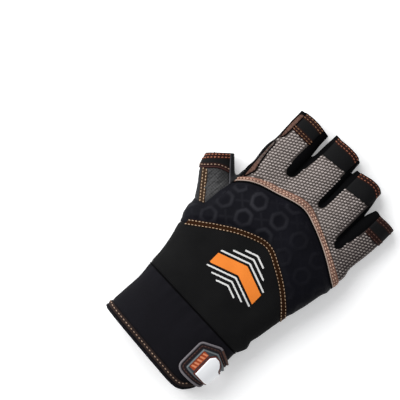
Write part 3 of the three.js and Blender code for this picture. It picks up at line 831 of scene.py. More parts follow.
@dataclass(frozen=True)
class Finish:
    """A material: what it is made of and how its surface was made. Sizes are millimetres."""

    name: str
    base: str
    shade: str
    roughness: float
    pattern: Pattern = Pattern.PLAIN
    pitch: float = 1.0
    depth: float = 0.1
    grain: float = 0.05
    # A second tone, mixed in where a piece's vertices call for it: real wear and thread colour on
    # some finishes, painted shade and painted highlight on others
    wear_and_light_tone: str | None = None
    specular: float = 0.12

    # Cloth is dyed and handled a little unevenly, over some 20 mm
    BLOTCH = {"Scale": 48.0, "Detail": 3.0}
    # How the blotches' noise becomes the share of the base colour
    BLOTCH_RANGE = {1: 0.3, 2: 0.7, 3: 0.25, 4: 1.0}
    # The yarn or skin itself is uneven over some 0.6 mm
    SPECK = {"Scale": 1600.0, "Detail": 2.0}
    # How far a stitch of knit leans, and how full the squares and the stitches are
    KNIT_LEAN = 0.9
    KNIT_FULL = 0.5
    SQUARE_FULL = 0.6

    def material(self) -> bpy.types.Material:
        """The finish as a material, made once."""
        return bpy.data.materials.get(self.name) or self._make()

    def _pattern(self, tree: bpy.types.NodeTree) -> bpy.types.NodeSocket:
        """The height of the repeat, from 0 to 1, on the cloth coordinates.

        Args:
            tree: The material's node tree.

        Returns:
            The height's socket.
        """
        def maths(operation: str, *values: object) -> bpy.types.NodeSocket:
            """One step of arithmetic."""
            return add_node(tree, "ShaderNodeMath", dict(enumerate(values)), operation=operation)

        cloth = add_node(tree, "ShaderNodeUVMap", uv_map="cloth")
        turns = math.pi / (self.pitch * MM)
        scaled = add_node(tree, "ShaderNodeVectorMath", {0: cloth, 1: (turns, turns, 0)},
                          operation="MULTIPLY")
        across = add_node(tree, "ShaderNodeSeparateXYZ", {0: scaled})
        along = across.node.outputs[1]
        if self.pattern is Pattern.RIBBED:
            return maths("ABSOLUTE", maths("SINE", along))
        if self.pattern is Pattern.KNITTED:
            lean = maths("MULTIPLY", maths("PINGPONG", across, math.pi / 2), self.KNIT_LEAN)
            wale = maths("POWER", maths("ABSOLUTE", maths("SINE", across)), self.KNIT_FULL)
            return maths("ABSOLUTE",
                         maths("MULTIPLY", maths("SINE", maths("ADD", along, lean)), wale))
        product = maths("MULTIPLY", maths("SINE", across), maths("SINE", along))
        if self.pattern is Pattern.SQUARES:
            return maths("POWER", maths("ABSOLUTE", product), self.SQUARE_FULL)
        return maths("MULTIPLY_ADD", product, 0.5, 0.5)

    def _make(self) -> bpy.types.Material:
        """Build the node tree.

        Returns:
            The material.
        """
        material = bpy.data.materials.new(self.name)
        material.use_nodes = True
        tree = material.node_tree
        shader = tree.nodes["Principled BSDF"]
        shader.inputs["Roughness"].default_value = self.roughness
        shader.inputs["Specular IOR Level"].default_value = self.specular
        place = add_node(tree, "ShaderNodeTexCoord", out="Object")
        blotch = add_node(tree, "ShaderNodeTexNoise", {"Vector": place, **self.BLOTCH})
        speck = add_node(tree, "ShaderNodeTexNoise", {"Vector": place, **self.SPECK})
        share = add_node(tree, "ShaderNodeMapRange", {0: blotch, **self.BLOTCH_RANGE})
        relief = add_node(tree, "ShaderNodeBump", {"Height": speck, "Strength": 1.0,
                                                   "Distance": self.grain * MM})
        if self.pattern is not Pattern.PLAIN:
            height = self._pattern(tree)
            share = add_node(tree, "ShaderNodeMath", {0: height, 1: share}, operation="MULTIPLY")
            relief = add_node(tree, "ShaderNodeBump", {"Height": height, "Strength": 1.0,
                                                       "Distance": self.depth * MM,
                                                       "Normal": relief})
        # In a patterned finish the hollows of the repeat take the shade colour: partly the cloth's
        # own tone, partly painted shade in the recesses
        colour = add_node(tree, "ShaderNodeMix", {0: share, 6: linear(self.shade),
                                                  7: linear(self.base)}, 2, data_type="RGBA")
        if self.wear_and_light_tone:
            # Pressed, rubbed and hemmed places show another tone, and so do places of painted shade
            # and painted highlight
            wear_and_light = add_node(tree, "ShaderNodeAttribute", out="Fac", attribute_name="wear_and_light")
            colour = add_node(tree, "ShaderNodeMix", {0: wear_and_light, 6: colour, 7: linear(self.wear_and_light_tone)},
                              2, data_type="RGBA")
        tree.links.new(colour, shader.inputs["Base Color"])
        tree.links.new(relief, shader.inputs["Normal"])
        return material


def thread(name: str, base: str, shade: str) -> Finish:
    """Twisted polyester sewing thread: a soft gleam, broken by its strands."""
    return Finish(f"{name}_polyester_thread", base, shade, 0.6, grain=0.08)


def looper(name: str, base: str, shade: str) -> Finish:
    """Bulky looper thread that fills a seam: matt and ribbed, dark between the stitches."""
    return Finish(f"{name}_looper_thread", base, shade, 0.8, Pattern.RIBBED, 0.9, 0.15,
                  specular=0.05)


def ink(name: str, base: str, shade: str) -> Finish:
    """Screen printing ink: even and opaque, with a faint gloss over the knit."""
    return Finish(f"{name}_screen_print", base, shade, 0.5, grain=0.03)


# Neoprene laminated with nylon jersey: navy-black and even, with a faint nap
CUFF = Finish("laminated_neoprene", "#0f0e15", "#07060b", 0.8, Pattern.KNITTED, 0.9, 0.06,
              wear_and_light_tone="#030304")
# The knuckle pad's neoprene is embossed under heat: pressed rings come out smoother and greyer.
# Their grey is partly painted highlight, fading as painted shade towards the little finger side
KNUCKLE = Finish("embossed_neoprene", "#07070f", "#030308", 0.7, grain=0.04, wear_and_light_tone="#26262b",
                 specular=0.09)
# Stretch knit of dull polyester yarn: black, with matt wales
BACK = Finish("stretch_knit", "#161616", "#070708", 0.9, Pattern.KNITTED, 1.1, 0.1,
              wear_and_light_tone="#030303")
# The same in a finer gauge, darker than the back's knit: partly its own black, partly painted shade
# where it lies between the fingers
SIDE = Finish("fine_stretch_knit", "#070708", "#030304", 0.9, Pattern.KNITTED, 0.9, 0.08,
              specular=0.06)
# Tight warp knit, smooth enough to shine a little along the thumb
STRIP = Finish("smooth_side_knit", "#1c1d20", "#121315", 0.7, Pattern.KNITTED, 0.8, 0.05,
               specular=0.2)
# Grip fabric, whose hems are coloured by the thread that covers them
BAND = Finish("grip_fabric", "#101011", "#09090a", 0.8, Pattern.WOVEN, 0.7, 0.06, wear_and_light_tone="#240f0a")
# Warp-knitted air mesh: a dull ground with pale yarn loops standing on it. Its dark hollows are
# partly painted shade, and its wear colour is painted shade that darkens it towards the little
# finger
MESH = Finish("air_mesh_ground", "#6d6461", "#413b37", 0.9, Pattern.WOVEN, 1.0, 0.1,
              wear_and_light_tone="#373130")
MESH_LOOP = Finish("air_mesh_yarn", "#b2a8a4", "#968d89", 0.85, grain=0.06)
# The mesh yarn again, darker: painted shade for the loops towards the little finger
SHADED_LOOP = Finish("painted_shade_air_mesh_yarn", "#968d89", "#7c7470", 0.9, grain=0.06)
# Woven tapes show fine ribs across: the trim lies flat, and the side tape is rolled and rubbed
TRIM = Finish("tan_woven_tape", "#977163", "#745346", 0.85, Pattern.RIBBED, 0.8, 0.08)
SIDE_TAPE = Finish("rolled_tan_tape", "#6e4d40", "#4a3229", 0.85, Pattern.RIBBED, 0.8, 0.08,
                   wear_and_light_tone="#544c48")
BINDING = Finish("dark_brown_woven_tape", "#302522", "#1f1715", 0.85, Pattern.RIBBED, 0.8, 0.1)
# Synthetic leather, embossed with a grid of 1.7 mm that catches the light
PALM_SKIN = Finish("embossed_synthetic_leather", "#1d1c21", "#131217", 0.5, Pattern.SQUARES, 1.7,
                   0.14, wear_and_light_tone="#2a292e", specular=0.35)
PAD_SKIN = Finish("padded_synthetic_leather", "#1f1e24", "#15141a", 0.48, Pattern.SQUARES, 1.7,
                  0.14, specular=0.35)
# Leather pressed with a coarse weave, whose crests are grey and whose hollows are black: partly its
# own tone, partly painted shade in the hollows
THUMB_SKIN = Finish("grey_textured_leather", "#353536", "#101011", 0.55, Pattern.WOVEN, 1.2, 0.16,
                    specular=0.3)
# Plain-woven webbing: matt, with a fine even grain
STRAP = Finish("dark_brown_strap_webbing", "#2e282b", "#1d191c", 0.85, Pattern.WOVEN, 0.8, 0.08)
# Injection-moulded rubber: smooth and slate grey, its rim's crest painted lighter as a highlight
RUBBER = Finish("slate_moulded_rubber", "#3b4348", "#31383d", 0.5, grain=0.03, wear_and_light_tone="#636a6d",
                specular=0.3)
# Folded tapes and cord along edges, which are smoother and paler than the cloth beside them, and a
# grey cord that paints a highlight along the thumb strip's fold
PIPING = Finish("grey_edge_tape", "#777377", "#5f5b5f", 0.7, grain=0.04)
FOLD_HIGHLIGHT = Finish("painted_highlight_fold", "#57565a", "#403f43", 0.7, grain=0.04)
PALE_PIPING = Finish("pale_edge_cord", "#ad9c91", "#8c7c71", 0.8, grain=0.05)
# Film welded on and cut out: clean white and smooth, with a red cut edge
PATCH = Finish("white_reflective_film", "#fcfdff", "#f6f7fa", 0.35, grain=0.01, specular=0.4)
PATCH_EDGE = Finish("red_film_edge", "#5d2a20", "#451d16", 0.5, grain=0.02)
PEACH_THREAD = thread("peach", "#d2b49f", "#ab8b78")
TAN_THREAD = thread("tan", "#a58b77", "#7a6151")
GOLD_THREAD = thread("gold", "#b89e84", "#856e57")
AMBER_THREAD = thread("amber", "#a37a58", "#74543d")
RUST_THREAD = thread("rust", "#a4674e", "#744433")
DULL_THREAD = thread("dull_brown", "#5c4239", "#402c26")
BROWN_THREAD = looper("brown", "#321b0a", "#221105")
OCHRE_THREAD = looper("ochre", "#412f20", "#2a1f15")
# Threads that only show as a dark line
RED_THREAD = Finish("red_brown_looper_thread", "#3e2320", "#2a1715", 0.7, grain=0.08)
BLACK_THREAD = Finish("black_polyester_thread", "#050506", "#030303", 0.8, grain=0.08,
                      specular=0.03)
ORANGE_PRINT = ink("orange", "#e4812f", "#da762a")
RED_PRINT = ink("red_orange", "#a94b2a", "#933e22")
PALE_PRINT = ink("pale_orange", "#dd8e68", "#cb7a52")
WHITE_PRINT = ink("white", "#d2d2d0", "#c6c6c4")
# Cast acrylic of a shooting table: white, even and matt
ACRYLIC = Finish("white_acrylic_table", "#fafafa", "#f6f6f6", 0.9, grain=0.01)


# Pieces

# Creases sharper than this many degrees stay sharp in the shading
SHARP_ANGLE = 55


def make_object(name: str, points: Array, faces: Array, finish: Finish, cloth: Array,
                wear_and_light: Array | None = None) -> bpy.types.Object:
    """Make a mesh object in the frame from pattern millimetres.

    Args:
        name: The object's name.
        points: The places of the vertices.
        faces: Three vertices for each triangle.
        finish: Its material.
        cloth: Two cloth coordinates for each vertex.
        wear_and_light: How far each vertex turns to its finish's second tone, from 0 to 1, for real
            wear and for painted shade and highlight.

    Returns:
        The object.
    """
    mesh = bpy.data.meshes.new(name)
    mesh.vertices.add(len(points))
    mesh.vertices.foreach_set("co", ((points - PLAN_ORIGIN) * MM).astype(np.float32).ravel())
    mesh.loops.add(faces.size)
    mesh.loops.foreach_set("vertex_index", faces.astype(np.int32).ravel())
    mesh.polygons.add(len(faces))
    mesh.polygons.foreach_set("loop_start", np.arange(0, faces.size, 3, dtype=np.int32))
    mesh.update(calc_edges=True)
    layer = mesh.uv_layers.new(name="cloth")
    layer.data.foreach_set("uv", (cloth[faces.ravel()] * MM).astype(np.float32).ravel())
    if wear_and_light is not None:
        layer = mesh.attributes.new("wear_and_light", "FLOAT", "POINT")
        layer.data.foreach_set("value", wear_and_light.astype(np.float32))
    mesh.validate()
    mesh.shade_smooth()
    mesh.set_sharp_from_angle(angle=math.radians(SHARP_ANGLE))
    mesh.materials.append(finish.material())
    return linked(bpy.data.objects.new(name, mesh))


def linked(thing: bpy.types.Object) -> bpy.types.Object:
    """The object, put in the scene."""
    bpy.context.scene.collection.objects.link(thing)
    return thing


def settle(piece: bpy.types.Object, slot: str, *nodes: str) -> None:
    """Put a piece on the glove's body.

    Args:
        piece: The piece.
        slot: The record's slot that its finish comes from; not used.
        nodes: The CAD nodes that it stands for.
    """
    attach(piece, ROOT)
    if nodes:
        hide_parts(*nodes)
    triangles = sum(len(p.vertices) - 2 for p in piece.data.polygons)
    log.info("%s: %d triangles", piece.name, triangles)


def closed_wall(skin: Skin, outer: Array, inner: Array) -> tuple[Array, Array]:
    """Close a sheet into a wall.

    Args:
        skin: The sheet.
        outer: Where its vertices lie on the outer side.
        inner: Where they lie on the inner side.

    Returns:
        The places of the vertices, and the triangles.
    """
    f, n = skin.faces, len(skin.rows)
    sides = np.concatenate([f[:, [0, 1]], f[:, [1, 2]], f[:, [2, 0]]])
    key = sides[:, 0].astype(np.int64) * n + sides[:, 1]
    back = sides[:, 1].astype(np.int64) * n + sides[:, 0]
    a, b = sides[~np.isin(key, back)].T
    rims = np.concatenate([np.stack([b, a, a + n], 1), np.stack([b, a + n, b + n], 1)])
    return np.vstack([outer, inner]), np.concatenate([f, f[:, ::-1] + n, rims])


class Side(Enum):
    """Which side of its path a seam keeps."""

    ABOVE = "above"
    BELOW = "below"
    INSIDE = "inside"
    OUTSIDE = "outside"
    OVER = "over"
    UNDER = "under"


@dataclass(frozen=True)
class Seam:
    """One edge of a panel. Over and under follow the side seam by level, the others lie in plan."""

    side: Side
    path: Array | None = None

    def reach(self, points: Array) -> Array:
        """How far each point is on the side that is kept.

        Args:
            points: Places on the skin.

        Returns:
            One distance for each place.
        """
        if self.side in (Side.OVER, Side.UNDER):
            value = points[:, 2] - np.interp(points[:, 1], *SIDE_SEAM.T)
        elif self.side in (Side.INSIDE, Side.OUTSIDE):
            value = inside_by(points[:, :2], self.path)
        else:
            value = above_by(points[:, :2], self.path)
        return value if self.side in (Side.OVER, Side.INSIDE, Side.ABOVE) else -value


@dataclass(frozen=True)
class InsetSeam:
    """Another seam moved inwards, or outwards by a negative distance."""

    seam: Seam | WrappedSeam
    distance: float

    def reach(self, points: Array) -> Array:
        """How far each point is inside the moved seam."""
        return self.seam.reach(points) - self.distance


@dataclass(frozen=True)
class WrappedSeam:
    """An outline round the edge of the wrist: one shape in plan below a level, another above."""

    lower: Array
    upper: Array
    level: float
    blend: float

    def reach(self, points: Array) -> Array:
        """How far each point is inside the outline.

        Args:
            points: Places on the skin.

        Returns:
            One distance for each place.
        """
        share = ease(points[:, 2], self.level - self.blend, self.level + self.blend)
        low, high = (inside_by(points[:, :2], outline) for outline in (self.lower, self.upper))
        return low * (1 - share) + high * share


OVER = Seam(Side.OVER)
UNDER = Seam(Side.UNDER)


def above(path: Array) -> Seam:
    """A seam that keeps what is above a path."""
    return Seam(Side.ABOVE, path)


def below(path: Array) -> Seam:
    """A seam that keeps what is below a path."""
    return Seam(Side.BELOW, path)


def inside(outline: Array) -> Seam:
    """A seam that keeps what is inside an outline."""
    return Seam(Side.INSIDE, outline)


def outside(outline: Array) -> Seam:
    """A seam that keeps what is outside an outline."""
    return Seam(Side.OUTSIDE, outline)


def astride(path: Array, half: float) -> list[InsetSeam]:
    """Two seams that keep a strip along a path, half its width to each side."""
    return [InsetSeam(above(path), -half), InsetSeam(below(path), -half)]


@dataclass
class Panel:
    """One sewn piece, cut out of the skin along its seams. Sizes are millimetres."""

    name: str
    finish: Finish
    slot: str
    seams: Sequence[Seam | InsetSeam | WrappedSeam]
    # How far it stands out past its edge, how wide the edge is, and how far it dips at the seams
    proud: float = 0.0
    edge: float = 1.4
    dip: float = 0.45
    # The levels of its outer and inner side above the skin
    base: float = 0.0
    low: float = -1.8
    # How many times its triangles are cut into four
    fineness: int = 0
    # Functions of its sheet and reach: a further height, and how far it turns to its finish's
    # second tone, for real wear and for painted shade and highlight
    relief: Relief | None = None
    wear_and_light: Relief | None = None
    # The CAD nodes that it stands for, if not the one of its own name
    nodes: tuple[str, ...] | None = None
    # How tightly it is stuffed, if it is
    fill: float = 0.0
    surface: Skin = field(init=False)
    piece: bpy.types.Object = field(init=False)

    # The gap that is left at each seam, and how much more than the panel is cut finer
    SLACK = 0.05
    SPARE = 1.5
    DIP_WIDTH = 1.2
    THINNEST = 0.4
    # How far a panel turns to its finish's second tone at its seams, and over what reach that
    # fades: darker at the seams of the cuff and the back, lighter on the palm
    SEAM_TONE = 0.6
    SEAM_TONE_REACH = (0.2, 1.2)

    def reach(self, points: Array) -> Array:
        """How far each point is inside the nearest seam."""
        return np.min([seam.reach(points) for seam in self.seams], 0)

    def inset(self, distance: float) -> Values:
        """Values that pass 0 on a line inside the panel's seams."""
        return lambda points: self.reach(points) - distance

    def build(self, skin: Skin) -> Panel:
        """Cut the panel, shape it and make its object.

        Args:
            skin: The glove's skin.

        Returns:
            The panel.
        """
        part = skin.part(self.reach(skin.points) > -self.SPARE)
        for _ in range(self.fineness):
            part = part.finer()
        for seam in self.seams:
            part = part.cut(seam.reach(part.points) - self.SLACK)
        part = part.main_parts()
        reach = self.reach(part.points)
        height = self.proud * rise(reach, self.edge) - self.dip * bell(reach, self.DIP_WIDTH)
        height = height + (self.base + (self.relief(part, reach) if self.relief else 0.0))
        wear_and_light = (self.wear_and_light(part, reach) if self.wear_and_light
                else self.SEAM_TONE * (1 - ease(reach, *self.SEAM_TONE_REACH)))
        self.surface = part.lifted(height)
        inner = part.lifted(np.minimum(self.low, height - self.THINNEST))
        points, faces = closed_wall(part, self.surface.points, inner.points)
        self.piece = make_object(f"sewn_{self.name}", points, faces, self.finish,
                                 np.tile(part.cloth, (2, 1)), np.tile(wear_and_light, 2))
        return self

    def dress(self) -> None:
        """Put the panel on the glove in place of its CAD nodes."""
        settle(self.piece, self.slot, *((self.name,) if self.nodes is None else self.nodes))

    def row(self, values: Values, keep: Values | None = None) -> list[Array]:
        """Lines on the panel's surface along which the values pass 0.

        Args:
            values: One value for each point.
            keep: A line is kept where this is above 0.

        Returns:
            Lines of places and normals.
        """
        points = self.surface.points
        limit = keep(points) if keep else np.ones(len(points))
        return self.surface.lines(values(points), limit)

    def rows(self, lines: Iterable[Values], margin: float) -> list[Array]:
        """Several rows, each kept a margin inside the panel's seams."""
        return [row for values in lines for row in self.row(values, self.inset(margin))]


@dataclass
class Tape(Panel):
    """A narrow panel that is sewn on top of others."""

    dip: float = 0.2
    fineness: int = 1


@dataclass
class Overlay(Panel):
    """A panel that lies on top of others, without a dip at its seams."""

    dip: float = 0.0
    fineness: int = 1


Relief = Callable[[Skin, Array], Array]


# Repeats and cords, laid by Geometry Nodes


def guide(lines: Iterable[Array], joined: bool) -> bpy.types.Object:
    """A mesh of points that carry their normals, for Geometry Nodes to lay a repeat on.

    Args:
        lines: Places and normals, in pattern millimetres.
        joined: Whether the points of each line are joined by edges.

    Returns:
        The guide's object.
    """
    lines = list(lines)
    rows = np.vstack(lines)
    edges, start = [], 0
    for line in lines:
        edges += [(start + k, start + k + 1) for k in range(len(line) - 1)] if joined else []
        start += len(line)
    mesh = bpy.data.meshes.new("guide")
    mesh.from_pydata(((rows[:, :3] - PLAN_ORIGIN) * MM).tolist(), edges, [])
    up = mesh.attributes.new("up", "FLOAT_VECTOR", "POINT")
    up.data.foreach_set("vector", rows[:, 3:6].astype(np.float32).ravel())
    return linked(bpy.data.objects.new("guide", mesh))


def flattened(source: bpy.types.Object, name: str) -> bpy.types.Object:
    """Turn an object with modifiers into a plain mesh object and remove it.

    Args:
        source: The object.
        name: The new object's name.

    Returns:
        The new object.
    """
    graph = bpy.context.evaluated_depsgraph_get()
    mesh = bpy.data.meshes.new_from_object(source.evaluated_get(graph), depsgraph=graph,
                                           preserve_all_data_layers=True)
    mesh.name = name
    piece = linked(bpy.data.objects.new(name, mesh))
    bpy.data.objects.remove(source)
    return piece


@dataclass
class Laid:
    """Something small that Geometry Nodes lay along lines or on points."""

    finish: Finish

    def joined(self) -> bool:
        """Whether it is laid along lines, not on points."""
        return True

    def inputs(self) -> dict[str, tuple[str, object]]:
        """The kind and value of each of its named inputs, in metres."""
        raise NotImplementedError

    def nodes(self, tree: bpy.types.NodeTree, given: bpy.types.NodeOutputs) -> bpy.types.NodeSocket:
        """Add the nodes that make its geometry from the given inputs."""
        raise NotImplementedError

    def lay(self, name: str, slot: str, lines: Iterable[Array]) -> None:
        """Lay it, turn it into a plain mesh and put that on the glove.

        Args:
            name: The piece's name.
            slot: The record's slot that its finish comes from.
            lines: Places and normals, in pattern millimetres.
        """
        source = guide(lines, self.joined())
        tree = bpy.data.node_groups.new("laid", "GeometryNodeTree")
        face = tree.interface
        face.new_socket("Geometry", in_out="INPUT", socket_type="NodeSocketGeometry")
        inputs = {**self.inputs(), "Material": ("Material", self.finish.material())}
        keys = {title: face.new_socket(title, in_out="INPUT",
                                       socket_type=f"NodeSocket{kind}").identifier
                for title, (kind, _) in inputs.items()}
        face.new_socket("Geometry", in_out="OUTPUT", socket_type="NodeSocketGeometry")
        given = tree.nodes.new("NodeGroupInput").outputs
        real = add_node(tree, "GeometryNodeRealizeInstances", {0: self.nodes(tree, given)})
        smooth = add_node(tree, "GeometryNodeSetShadeSmooth", {0: real})
        done = add_node(tree, "GeometryNodeSetMaterial", {0: smooth, "Material": given["Material"]})
        add_node(tree, "NodeGroupOutput", {0: done})
        modifier = source.modifiers.new("laid", "NODES")
        modifier.node_group = tree
        for title, (_, value) in inputs.items():
            modifier[keys[title]] = value
        settle(flattened(source, name), slot)

    @staticmethod
    def evenly(tree: bpy.types.NodeTree, given: bpy.types.NodeOutputs,
               step: str) -> bpy.types.NodeSocket:
        """The given lines as curves, with points an even step apart."""
        curve = add_node(tree, "GeometryNodeMeshToCurve", {0: given["Geometry"]})
        return add_node(tree, "GeometryNodeResampleCurve", {"Curve": curve, "Length": given[step]},
                        mode="LENGTH")


@dataclass
class Repeat(Laid):
    """A small rounded body: a stitch along lines or, without a pitch, a yarn loop on points."""

    size: tuple[float, float, float]
    pitch: float | None = None
    turn: float = 0.0

    BODY = {"Segments": 7, "Rings": 5, "Radius": 0.5}
    # No two bodies are quite of one size
    SPREAD = {"Min": (0.9, 0.9, 0.85), "Max": (1.08, 1.08, 1.1), "Seed": SEED}

    def joined(self) -> bool:
        """Whether it is laid along lines, not on points."""
        return self.pitch is not None

    def inputs(self) -> dict[str, tuple[str, object]]:
        """The kind and value of each of its named inputs, in metres."""
        return {"Pitch": ("Float", (self.pitch or 0.0) * MM),
                "Size": ("Vector", [s * MM for s in self.size]), "Turn": ("Float", self.turn)}

    def nodes(self, tree: bpy.types.NodeTree, given: bpy.types.NodeOutputs) -> bpy.types.NodeSocket:
        """Add the nodes that lay the bodies, each along its line and upright on the surface.

        Args:
            tree: The node tree.
            given: The sockets of its inputs.

        Returns:
            The socket of the bodies.
        """
        up = add_node(tree, "GeometryNodeInputNamedAttribute", {"Name": "up"},
                      data_type="FLOAT_VECTOR")
        points, aim, pivot = given["Geometry"], {"Vector": up}, "AUTO"
        if self.joined():
            points = self.evenly(tree, given, "Pitch")
            way = add_node(tree, "GeometryNodeInputTangent")
            aim["Rotation"] = add_node(tree, "FunctionNodeAlignRotationToVector", {"Vector": way},
                                       axis="X")
            pivot = "X"
        facing = add_node(tree, "FunctionNodeAlignRotationToVector", aim, axis="Z",
                          pivot_axis=pivot)
        spin = add_node(tree, "ShaderNodeCombineXYZ", {"Z": given["Turn"]})
        facing = add_node(tree, "FunctionNodeRotateRotation", {"Rotation": facing,
                                                               "Rotate By": spin},
                          rotation_space="LOCAL")
        draw = add_node(tree, "FunctionNodeRandomValue", self.SPREAD, data_type="FLOAT_VECTOR")
        size = add_node(tree, "ShaderNodeVectorMath", {0: draw, 1: given["Size"]},
                        operation="MULTIPLY")
        body = add_node(tree, "GeometryNodeMeshUVSphere", self.BODY, "Mesh")
        return add_node(tree, "GeometryNodeInstanceOnPoints", {
            "Points": points, "Instance": body, "Rotation": facing, "Scale": size})


@dataclass
class Cord(Laid):
    """A round cord that is sewn on along lines, such as piping."""

    radius: float
    step: float = 0.9

    SIDES = 8

    def inputs(self) -> dict[str, tuple[str, object]]:
        """The kind and value of each of its named inputs, in metres."""
        return {"Step": ("Float", self.step * MM), "Radius": ("Float", self.radius * MM)}

    def nodes(self, tree: bpy.types.NodeTree, given: bpy.types.NodeOutputs) -> bpy.types.NodeSocket:
        """Add the nodes that sweep a circle along the lines.

        Args:
            tree: The node tree.
            given: The sockets of its inputs.

        Returns:
            The socket of the cord.
        """
        curve = self.evenly(tree, given, "Step")
        ring = add_node(tree, "GeometryNodeCurvePrimitiveCircle",
                        {"Resolution": self.SIDES, "Radius": given["Radius"]}, "Curve")
        return add_node(tree, "GeometryNodeCurveToMesh",
                        {"Curve": curve, "Profile Curve": ring, "Fill Caps": True})


# Loops turn from being counted along the cloth to being counted in x between these heights of
# the surface's normal
LEVELLING = (0.25, 0.5)


def lattice(lines: Iterable[Array], pitch: float, shift: float) -> Array:
    """Points at an even spacing in x along lines, or along the cloth where it turns down.

    Args:
        lines: Places and normals.
        pitch: The spacing.
        shift: Where the spacing is counted from.

    Returns:
        Places and normals.
    """
    out = []
    for line in lines:
        line = line if line[0, 0] < line[-1, 0] else line[::-1]
        step = np.diff(line[:, :3], axis=0)
        flat = ease((line[1:, 5] + line[:-1, 5]) / 2, *LEVELLING)
        length = step[:, 0] * flat + np.linalg.norm(step, axis=1) * (1 - flat)
        place = np.concatenate([[0], np.cumsum(length)])
        top = line[:, 5].argmax()
        place += line[top, 0] - place[top]
        first = math.ceil((place[0] - shift) / pitch)
        stops = np.arange(shift + pitch * first, place[-1], pitch)
        out.append(np.stack([np.interp(stops, place, line[:, k]) for k in range(6)], 1))
    return np.vstack(out)


def raised(lines: Iterable[Array], height: float) -> list[Array]:
    """Lines moved out along their normals."""
    return [np.hstack([line[:, :3] + line[:, 3:6] * height, line[:, 3:6]]) for line in lines]


@dataclass(frozen=True)
class Stitching:
    """Stitches on the thread that runs under them."""

    finish: Finish
    pitch: float = 2.6
    length: float = 1.9
    width: float = 0.7
    under: Finish | None = None

    THICK = 0.6
    RAISED = 0.15
    UNDER_RADIUS = 0.5
    UNDER_RAISED = -0.25

    def sew(self, name: str, slot: str, rows: Sequence[Array]) -> None:
        """Lay the stitches along rows, and the thread below them.

        Args:
            name: The start of the pieces' names.
            slot: The slot of the panel that they are sewn on.
            rows: Lines of places and normals.
        """
        stitch = Repeat(self.finish, (self.length, self.width, self.THICK), self.pitch)
        stitch.lay(f"{name}_stitches", slot, raised(rows, self.RAISED))
        if self.under:
            Cord(self.under, self.UNDER_RADIUS).lay(f"{name}_under_thread", slot,
                                                    raised(rows, self.UNDER_RAISED))


# How far a print sinks into the surface, and how few triangles a shape of it may have
PRINT_DEPTH = 0.15
PRINT_LEAST = 4


def printed(name: str, finish: Finish, slot: str, surface: Skin, outlines: Sequence[Array],
            thick: float = 0.22) -> None:
    """Lay thin printed shapes on a surface.

    Args:
        name: The print's name.
        finish: Its ink.
        slot: The slot of the piece under it.
        surface: The surface that it lies on.
        outlines: Its shapes in plan.
        thick: How proud it stands.
    """
    points, faces, cloth, count = [], [], [], 0
    for outline in outlines:
        near = surface.part(inside_by(surface.plan, outline) > -2)
        part = near.cut(inside_by(near.plan, outline)).main_parts(PRINT_LEAST)
        p, f = closed_wall(part, part.lifted(thick).points, part.lifted(-PRINT_DEPTH).points)
        points.append(p)
        faces.append(f + count)
        cloth.append(np.tile(part.cloth, (2, 1)))
        count += len(p)
    settle(make_object(name, np.vstack(points), np.vstack(faces), finish, np.vstack(cloth)), slot)


def offset_from(path: Array, distance: float) -> Values:
    """Values that pass 0 on a line beside a path from left to right, above it if positive."""
    return lambda points: above_by(points[:, :2], path) - distance


def inset_from(outline: Array, distance: float) -> Values:
    """Values that pass 0 on a line inside an outline."""
    return lambda points: inside_by(points[:, :2], outline) - distance


def puckers(depth: float, wave: float = 5.6) -> Relief:
    """How a tape rises between its stitches."""
    return lambda part, reach: (depth * np.sin(TURN * part.cloth[:, 0] / wave)
                                * ease(reach, 0.2, 1.5))


# The glove's parts


@dataclass
class Assembly:
    """Panels that belong together, with what is sewn on them."""

    panels: dict[str, Panel] = field(default_factory=dict, init=False)

    def build(self, skin: Skin) -> None:
        """Cut the panels out of the glove's skin."""
        self.panels = {panel.name: panel.build(skin) for panel in self.pieces()}

    def dress(self) -> None:
        """Put the panels on the glove, and sew on what they carry."""
        for panel in self.panels.values():
            panel.dress()
        self.sew()

    def pieces(self) -> list[Panel]:
        """The panels, not yet cut."""
        raise NotImplementedError

    def sew(self) -> None:
        """Lay the cords, threads, stitches and prints."""
        raise NotImplementedError


